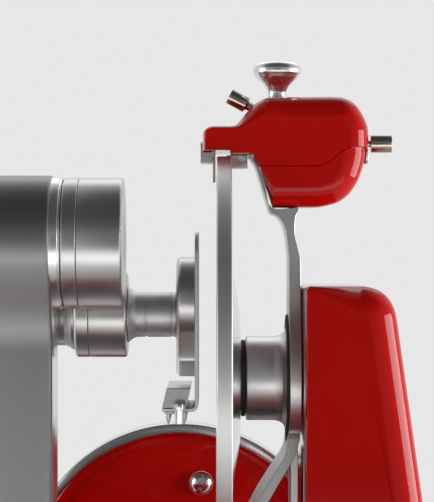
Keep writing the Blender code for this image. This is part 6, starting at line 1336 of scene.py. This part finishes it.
class SLICER_OT_gripper(bpy.types.Operator):
    """Makes the gripper: spindle, locking knob, boss, plate, claw, spikes and stop pin"""
    bl_idname = "slicer.gripper"
    bl_label = "Gripper"

    def execute(self, context):
        low, high = box("gripper_spindle")
        axis = middle("gripper_spindle")
        place = (0, axis.y, axis.z)
        collar = (high.z - low.z) / 2
        shaft = 0.0177
        collar_x = box("spindle_cap")[1].x + 0.0003 + 0.0293 + 0.0003
        spread = collar - shaft
        flare = [(collar_x + 0.0075 * along, shaft + spread * out) for along, out in
                 ((0.0, 1.0), (0.12, 0.96), (0.30, 0.62), (0.55, 0.30), (0.80, 0.08), (1.0, 0.0))]
        band = collar_x + 0.0135
        outline = [(low.x, 0), (low.x, 0.0076), (collar_x - 0.041, 0.0080), (collar_x - 0.041, 0.0136),
                   (collar_x, 0.0136)] + flare
        outline += [(band, shaft), (band + 0.0003, shaft - 0.0008), (band + 0.0015, shaft - 0.0008),
                    (band + 0.0018, shaft), (high.x - 0.004, shaft), (high.x - 0.0035, shaft - 0.0006),
                    (high.x - 0.0025, shaft - 0.0006), (high.x - 0.002, shaft), (high.x, shaft), (high.x, 0)]
        turned("turned_spindle", outline, 0.0003, (1, 0, 0), place, 96, "gripper", "ring_x",
               "gripper_spindle", rounding=2)
        self.knob(place)
        self.boss()
        edge = context.scene.slicer_sizes.fine_edge
        finished("bent_plate", self.plate(), "gripper", "ring_flat", "gripper_plate", bevel=edge)
        finished("claw_bar", refined("claw_block"), "gripper", "press_flat", "claw_block", bevel=0.0007)
        self.spikes()
        self.pin()
        return {"FINISHED"}

    def knob(self, place):
        low, high = box("lock_knob")
        flare = (high.z - low.z) / 2
        barrel = 0.0244
        outline = [(low.x + 0.0012, 0), (low.x + 0.0012, barrel * 0.45), (low.x, barrel * 0.50),
                   (low.x, barrel * 0.80), (low.x + 0.0048, barrel), (low.x + 0.0100, barrel),
                   (low.x + 0.0104, barrel - 0.0006), (low.x + 0.0116, barrel - 0.0006),
                   (low.x + 0.0120, barrel), (high.x - 0.0077, barrel),
                   (high.x - 0.0040, barrel + (flare - barrel) * 0.55), (high.x - 0.0020, flare * 0.99),
                   (high.x, flare), (high.x, 0.0084)]
        turned("fluted_lock", outline, 0.0006, (1, 0, 0), place, 96, "gripper", "press_x", "lock_knob")

    def boss(self):
        low, high = box("gripper_boss")
        centre = middle("gripper_spindle")
        radius = (high.y - low.y) / 2
        hub_z = high.z - radius
        post = 0.017
        drop = math.asin(post / radius)
        turn = math.pi / 2 - drop - 0.30
        shape = arc((centre.y, hub_z), radius, -turn + 0.05, math.pi + turn - 0.05, 56)
        left = flowing([shape[-1], (-post - 0.0035, hub_z - radius * 1.02), (-post, hub_z - radius - 0.010),
                        (-post, low.z + 0.010)], 5)[1:]
        right = [(-y, z) for y, z in reversed(left)]
        outline = shape + left + [(-post, low.z), (post, low.z)] + right
        builder = pushed(outline, "X", low.x, high.x)
        rims = [e for e in builder.edges if all(v.co.x < low.x + 0.00001 for v in e.verts)]
        bmesh.ops.bevel(builder, geom=rims, offset=0.0045, segments=6, profile=0.5, affect="EDGES",
                        material=-1, clamp_overlap=True)
        finished("cast_boss", builder, "gripper", "press_x", "gripper_boss")

    def plate(self):
        low, high = box("gripper_plate")
        thick = 0.0027
        outer = 0.0052
        inner = outer - thick
        bend = (high.x - outer, low.z + outer)
        outline = [(high.x - thick, high.z)]
        outline += arc(bend, inner, 0, -math.pi / 2, 8)
        outline += [(low.x, low.z + thick), (low.x, low.z)]
        outline += arc(bend, outer, -math.pi / 2, 0, 10)
        outline += [(high.x, high.z)]
        builder = pushed(outline, "Y", low.y, high.y)
        tops = [e for e in builder.edges if all(v.co.z > high.z - 0.00001 for v in e.verts)
                and abs(e.verts[0].co.x - e.verts[1].co.x) > thick / 2]
        bmesh.ops.bevel(builder, geom=tops, offset=0.018, segments=12, profile=0.5, affect="EDGES",
                        material=-1, clamp_overlap=True)
        return builder

    def spikes(self):
        low, high = box("gripper_spikes")
        strip = [(low.y, high.z - 0.0015), (high.y, high.z - 0.0015), (high.y, high.z), (low.y, high.z)]
        builder = pushed(strip, "X", low.x, high.x)
        rows = 5
        reach = (high.y - low.y) / 2 - 0.0038
        for row in range(rows):
            y = -reach + 2 * reach * row / (rows - 1)
            for x in (low.x + 0.0029, high.x - 0.0029):
                cone = [(low.z, 0), (low.z + 0.0003, 0.0002), (low.z + 0.0045, 0.0019),
                        (high.z - 0.001, 0.0019), (high.z - 0.001, 0)]
                builder = merged(builder, spun(cone, (0, 0, 1), (x, y, 0), 16))
        finished("spike_strip", builder, "gripper", "ring_flat", "gripper_spikes", bevel=0.0002, segments=2)

    def pin(self):
        low, high = box("stop_pin")
        centre = middle("stop_pin")
        head = (high.x - low.x) / 2
        outline = [(high.z, 0), (high.z, head * 0.80), (high.z - 0.0012, head), (high.z - 0.0054, head),
                   (high.z - 0.0054, 0.0037), (low.z + 0.0006, 0.0037), (low.z, 0.0030), (low.z, 0)]
        pin = spun(eased(outline, 0.0003, 2), (0, 0, 1), (centre.x, centre.y, 0), SMALL_STEPS)
        finished("stop_screw", pin, "gripper", "mirror", "stop_pin")


# Flywheel and drive


class SLICER_OT_flywheel(bpy.types.Operator):
    """Makes the flywheel: bright rim, red disc, shaft end, bush, crank pin, nut and grip"""
    bl_idname = "slicer.flywheel"
    bl_label = "Flywheel"

    def execute(self, context):
        low, high = box("flywheel_rim")
        axis = middle("flywheel_rim")
        place = (axis.x, 0, axis.z)
        radius = (high.z - low.z) / 2
        wall = 0.0090
        rim = [(low.y, radius - wall), (low.y, radius - 0.0016), (low.y + 0.0016, radius),
               (high.y - 0.0016, radius), (high.y, radius - 0.0016), (high.y, radius - wall)]
        turned("bright_rim", rim, 0.0012, (0, 1, 0), place, 192, "flywheel", "mirror_y", "flywheel_rim",
               rounding=4, closed=True)
        edge = radius - wall - 0.0003
        near = axis.y - 0.005
        far = axis.y + 0.005
        hub_low, hub_high = box("flywheel_disc")
        disc = [(hub_low.y, 0.0123), (hub_low.y, 0.0265), (hub_low.y + 0.002, 0.028), (near - 0.012, 0.030),
                (near - 0.003, 0.033), (near, 0.040), (near, 0.1215), (near - 0.001, 0.1225),
                (near - 0.001, edge - 0.008), (near - 0.003, edge - 0.0035), (near - 0.007, edge - 0.0005),
                (near - 0.007, edge), (far + 0.007, edge), (far + 0.007, edge - 0.0005),
                (far + 0.003, edge - 0.0035), (far, edge - 0.008), (far, 0.040), (far + 0.003, 0.033),
                (far + 0.010, 0.030), (hub_high.y - 0.002, 0.028), (hub_high.y, 0.0265),
                (hub_high.y, 0.0123)]
        turned("red_disc", disc, 0.0012, (0, 1, 0), place, 192, "flywheel", "enamel", "flywheel_disc",
               closed=True)
        shaft_low, shaft_high = box("flywheel_shaft")
        cap = hub_high.y + 0.0003
        shaft = [(shaft_low.y, 0), (shaft_low.y, 0.012), (cap, 0.012), (cap, 0.024), (cap + 0.0038, 0.024)]
        shaft += [(y, out) for y, out in round_end(cap + 0.0038, 0.0236, shaft_high.y - cap - 0.0038, 8)]
        finished("shaft_and_cap", spun(shaft, (0, 1, 0), place, ROUND_STEPS), "flywheel", "mirror_y",
                 "flywheel_shaft")
        self.crank(near, far)
        self.bush(place)
        return {"FINISHED"}

    def crank(self, near, far):
        low, high = box("crank_pin")
        centre = middle("crank_pin")
        place = (centre.x, 0, centre.z)
        pin = [(low.y, 0), (low.y, 0.007), (far + 0.0003, 0.007), (far + 0.0003, 0.0126),
               (far + 0.0050, 0.0126), (far + 0.0070, 0.0098), (far + 0.0070, 0.007),
               (high.y - 0.004, 0.007),
               (high.y - 0.004, 0.010), (high.y - 0.002, 0.010), (high.y, 0.008), (high.y, 0)]
        turned("crank_bolt", pin, 0.0006, (0, 1, 0), place, 56, "flywheel", "mirror", "crank_pin")
        low, high = box("crank_nut")
        radius = (high.z - low.z) / 2
        nut = [(high.y, 0.0073), (high.y, radius), (high.y - 0.0036, radius)]
        nut += [(y, out) for y, out in round_end(high.y - 0.0036, radius * 0.97, low.y - high.y + 0.0036, 8)]
        finished("domed_nut", spun(nut, (0, 1, 0), place, 56), "flywheel", "mirror", "crank_nut")
        low, high = box("crank_grip")
        span = high.y - low.y
        radius = (high.z - low.z) / 2
        shape = [(low.y + span * along, radius * out) for along, out in
                 ((0.0, 0.66), (0.02, 0.72), (0.06, 0.80), (0.18, 0.93), (0.35, 1.0), (0.55, 0.95),
                  (0.72, 0.88), (0.85, 0.93), (0.94, 0.97), (0.985, 0.90), (1.0, 0.78))]
        outline = [(low.y, 0.008)] + flowing(shape, 4) + [(high.y, 0.008)]
        finished("turned_grip", spun(outline, (0, 1, 0), place, 72, closed=True), "crank_handle", "grip",
                 "crank_grip")

    def bush(self, place):
        low, high = box("flywheel_bush")
        radius = (high.z - low.z) / 2
        flange = high.y - 0.037
        outline = [(low.y, 0.0126), (low.y, 0.0195), (flange, 0.0195), (flange, radius),
                   (flange + 0.008, radius), (flange + 0.008, 0.023), (flange + 0.011, 0.0215),
                   (high.y, 0.0198), (high.y, 0.0126)]
        turned("shaft_bush", outline, 0.0008, (0, 1, 0), place, ROUND_STEPS, "base", "cast", "flywheel_bush",
               closed=True)
        turns = [math.radians(45 + 90 * number) for number in range(4)]
        heads = [cap_screw((place[0] + 0.0255 * math.cos(turn), flange + 0.008,
                            place[2] + 0.0255 * math.sin(turn)), (0, 1, 0), 0.0035, 0.0035)
                 for turn in turns]
        finished("bush_screws", merged(*heads), "base", "mirror")


# Carriage and gauge


class SLICER_OT_carriage(bpy.types.Operator):
    """Makes the rails, the carriage frame, the meat table and the threaded feed"""
    bl_idname = "slicer.carriage"
    bl_label = "Carriage"

    def execute(self, context):
        sizes = context.scene.slicer_sizes
        for side in ("left", "right"):
            node = f"carriage_rail_{side}"
            low, high = box(node)
            centre = middle(node)
            radius = (high.z - low.z) / 2
            rail = eased([(low.y, 0), (low.y, radius), (high.y, radius), (high.y, 0)], 0.001, 3)
            finished(f"ground_rail_{side}", spun(rail, (0, 1, 0), (centre.x, 0, centre.z), 48), "base",
                     "mirror_y", node)
        finished("cast_frame", refined("carriage_frame"), "carriage", "cast", "carriage_frame",
                 bevel=0.0008)
        finished("meat_top", refined("meat_table"), "carriage", "sheet", "meat_table", bevel=0.0015,
                 segments=4)
        finished("sliding_saddle", refined("press_saddle"), "press_stand", "bronze", "press_saddle",
                 bevel=sizes.fine_edge)
        low, high = box("feed_screw")
        centre = middle("feed_screw")
        screw = threaded(0.006, 0.0006, sizes.thread_lead, low.x, high.x, (1, 0, 0), (0, centre.y, centre.z))
        finished("feed_thread", screw, "feed_drive", "mirror", "feed_screw")
        self.handwheel((0, centre.y, centre.z))
        return {"FINISHED"}

    def handwheel(self, place):
        low, high = box("feed_handwheel")
        radius = (high.z - low.z) / 2
        rear = high.x - 0.010
        outline = [(rear + 0.002, 0), (rear + 0.002, radius * 0.30), (rear, radius * 0.36),
                   (rear + 0.0032, radius * 0.48), (rear + 0.0032, radius * 0.74), (rear, radius * 0.82),
                   (rear + 0.001, radius * 0.95), (rear + 0.005, radius), (high.x - 0.001, radius * 0.95),
                   (high.x, radius * 0.88), (high.x, 0)]
        turned("turned_handwheel", outline, 0.0010, (1, 0, 0), place, ROUND_STEPS, "feed_drive", "press_x",
               "feed_handwheel")
        shape = [(low.x, 0), (low.x, 0.0035), (low.x + 0.002, 0.0060), (low.x + 0.007, 0.0070),
                 (rear - 0.007, 0.0055), (rear - 0.001, 0.0045), (rear + 0.003, 0.0045), (rear + 0.003, 0)]
        finished("handwheel_peg", spun(flowing(shape, 3), (1, 0, 0), (0, place[1], place[2] + 0.012), 32),
                 "feed_drive", "grip")


class SLICER_OT_gauge(bpy.types.Operator):
    """Makes the gauge plate, its threaded screw, its fluted knob and the slice tray"""
    bl_idname = "slicer.gauge"
    bl_label = "Gauge"

    def execute(self, context):
        sizes = context.scene.slicer_sizes
        finished("guide_plate", refined("gauge_plate"), "gauge", "sheet", "gauge_plate",
                 bevel=sizes.fine_edge)
        low, high = box("gauge_screw")
        centre = middle("gauge_screw")
        screw = threaded(0.005, 0.0005, 0.002, low.x, high.x, (1, 0, 0), (0, centre.y, centre.z))
        finished("gauge_thread", screw, "gauge_drive", "mirror", "gauge_screw")
        low, high = box("gauge_knob")
        radius = (high.z - low.z) / 2
        outline = [(low.x, 0), (low.x, radius * 0.95), (low.x + 0.0026, radius),
                   (high.x - 0.0050, radius * 0.92), (high.x, radius * 0.78),
                   (high.x - 0.0010, radius * 0.40), (high.x - 0.0010, 0)]
        builder = spun(eased(outline, 0.0012, 4), (1, 0, 0), (0, centre.y, centre.z), sizes.knob_flutes * 8)
        for vert in builder.verts:
            spoke = Vector((0, vert.co.y - centre.y, vert.co.z - centre.z))
            if spoke.length > radius * 0.70:
                wave = 0.5 + 0.5 * math.cos(math.atan2(spoke.z, spoke.y) * sizes.knob_flutes)
                vert.co -= spoke.normalized() * 0.0016 * wave ** 3
        finished("fluted_knob", builder, "gauge_drive", "grip", "gauge_knob")
        finished("slice_shelf", refined("slice_tray"), "base", "sheet", "slice_tray", bevel=0.0004,
                 segments=2)
        return {"FINISHED"}


class SLICER_OT_finishes(bpy.types.Operator):
    """Gives each node that still shows the finish of its material slot"""
    bl_idname = "slicer.finishes"
    bl_label = "Node finishes"

    def execute(self, context):
        slots = {entry["node"]: entry["material_slot"] for entry in frame["record"]["subparts"]}
        for name, node in frame["nodes"].items():
            if node.hide_render:
                continue
            material, _ = FINISHES[NODE_FINISHES[slots[name]]]
            node.data.materials.clear()
            node.data.materials.append(material(node))
        return {"FINISHED"}


class SLICER_PT_panel(bpy.types.Panel):
    """Lists the pieces of the slicer"""
    bl_idname = "SLICER_PT_panel"
    bl_label = "Slicer"
    bl_space_type = "VIEW_3D"
    bl_region_type = "UI"
    bl_category = "Slicer"

    def draw(self, context):
        for operator in OPERATORS:
            self.layout.operator(operator.bl_idname)
        scene = context.scene
        for settings in (scene.slicer_sizes, scene.slicer_finish, scene.slicer_stage):
            for name in settings.__annotations__:
                self.layout.prop(settings, name)


OPERATORS = (SLICER_OT_stage, SLICER_OT_knife, SLICER_OT_ring, SLICER_OT_hub, SLICER_OT_arm, SLICER_OT_base,
             SLICER_OT_housing, SLICER_OT_sharpener, SLICER_OT_column, SLICER_OT_link, SLICER_OT_gripper,
             SLICER_OT_flywheel, SLICER_OT_carriage, SLICER_OT_gauge, SLICER_OT_finishes)
CLASSES = (SlicerSizes, SlicerFinish, StageSettings, SLICER_PT_panel) + OPERATORS


def register():
    for cls in CLASSES:
        bpy.utils.register_class(cls)
    bpy.types.Scene.slicer_sizes = bpy.props.PointerProperty(type=SlicerSizes)
    bpy.types.Scene.slicer_finish = bpy.props.PointerProperty(type=SlicerFinish)
    bpy.types.Scene.slicer_stage = bpy.props.PointerProperty(type=StageSettings)


def unregister():
    del bpy.types.Scene.slicer_stage
    del bpy.types.Scene.slicer_finish
    del bpy.types.Scene.slicer_sizes
    for cls in reversed(CLASSES):
        bpy.utils.unregister_class(cls)


def main():
    register()
    for operator in OPERATORS:
        group, name = operator.bl_idname.split(".")
        getattr(getattr(bpy.ops, group), name)()


if __name__ == "__main__":
    main()
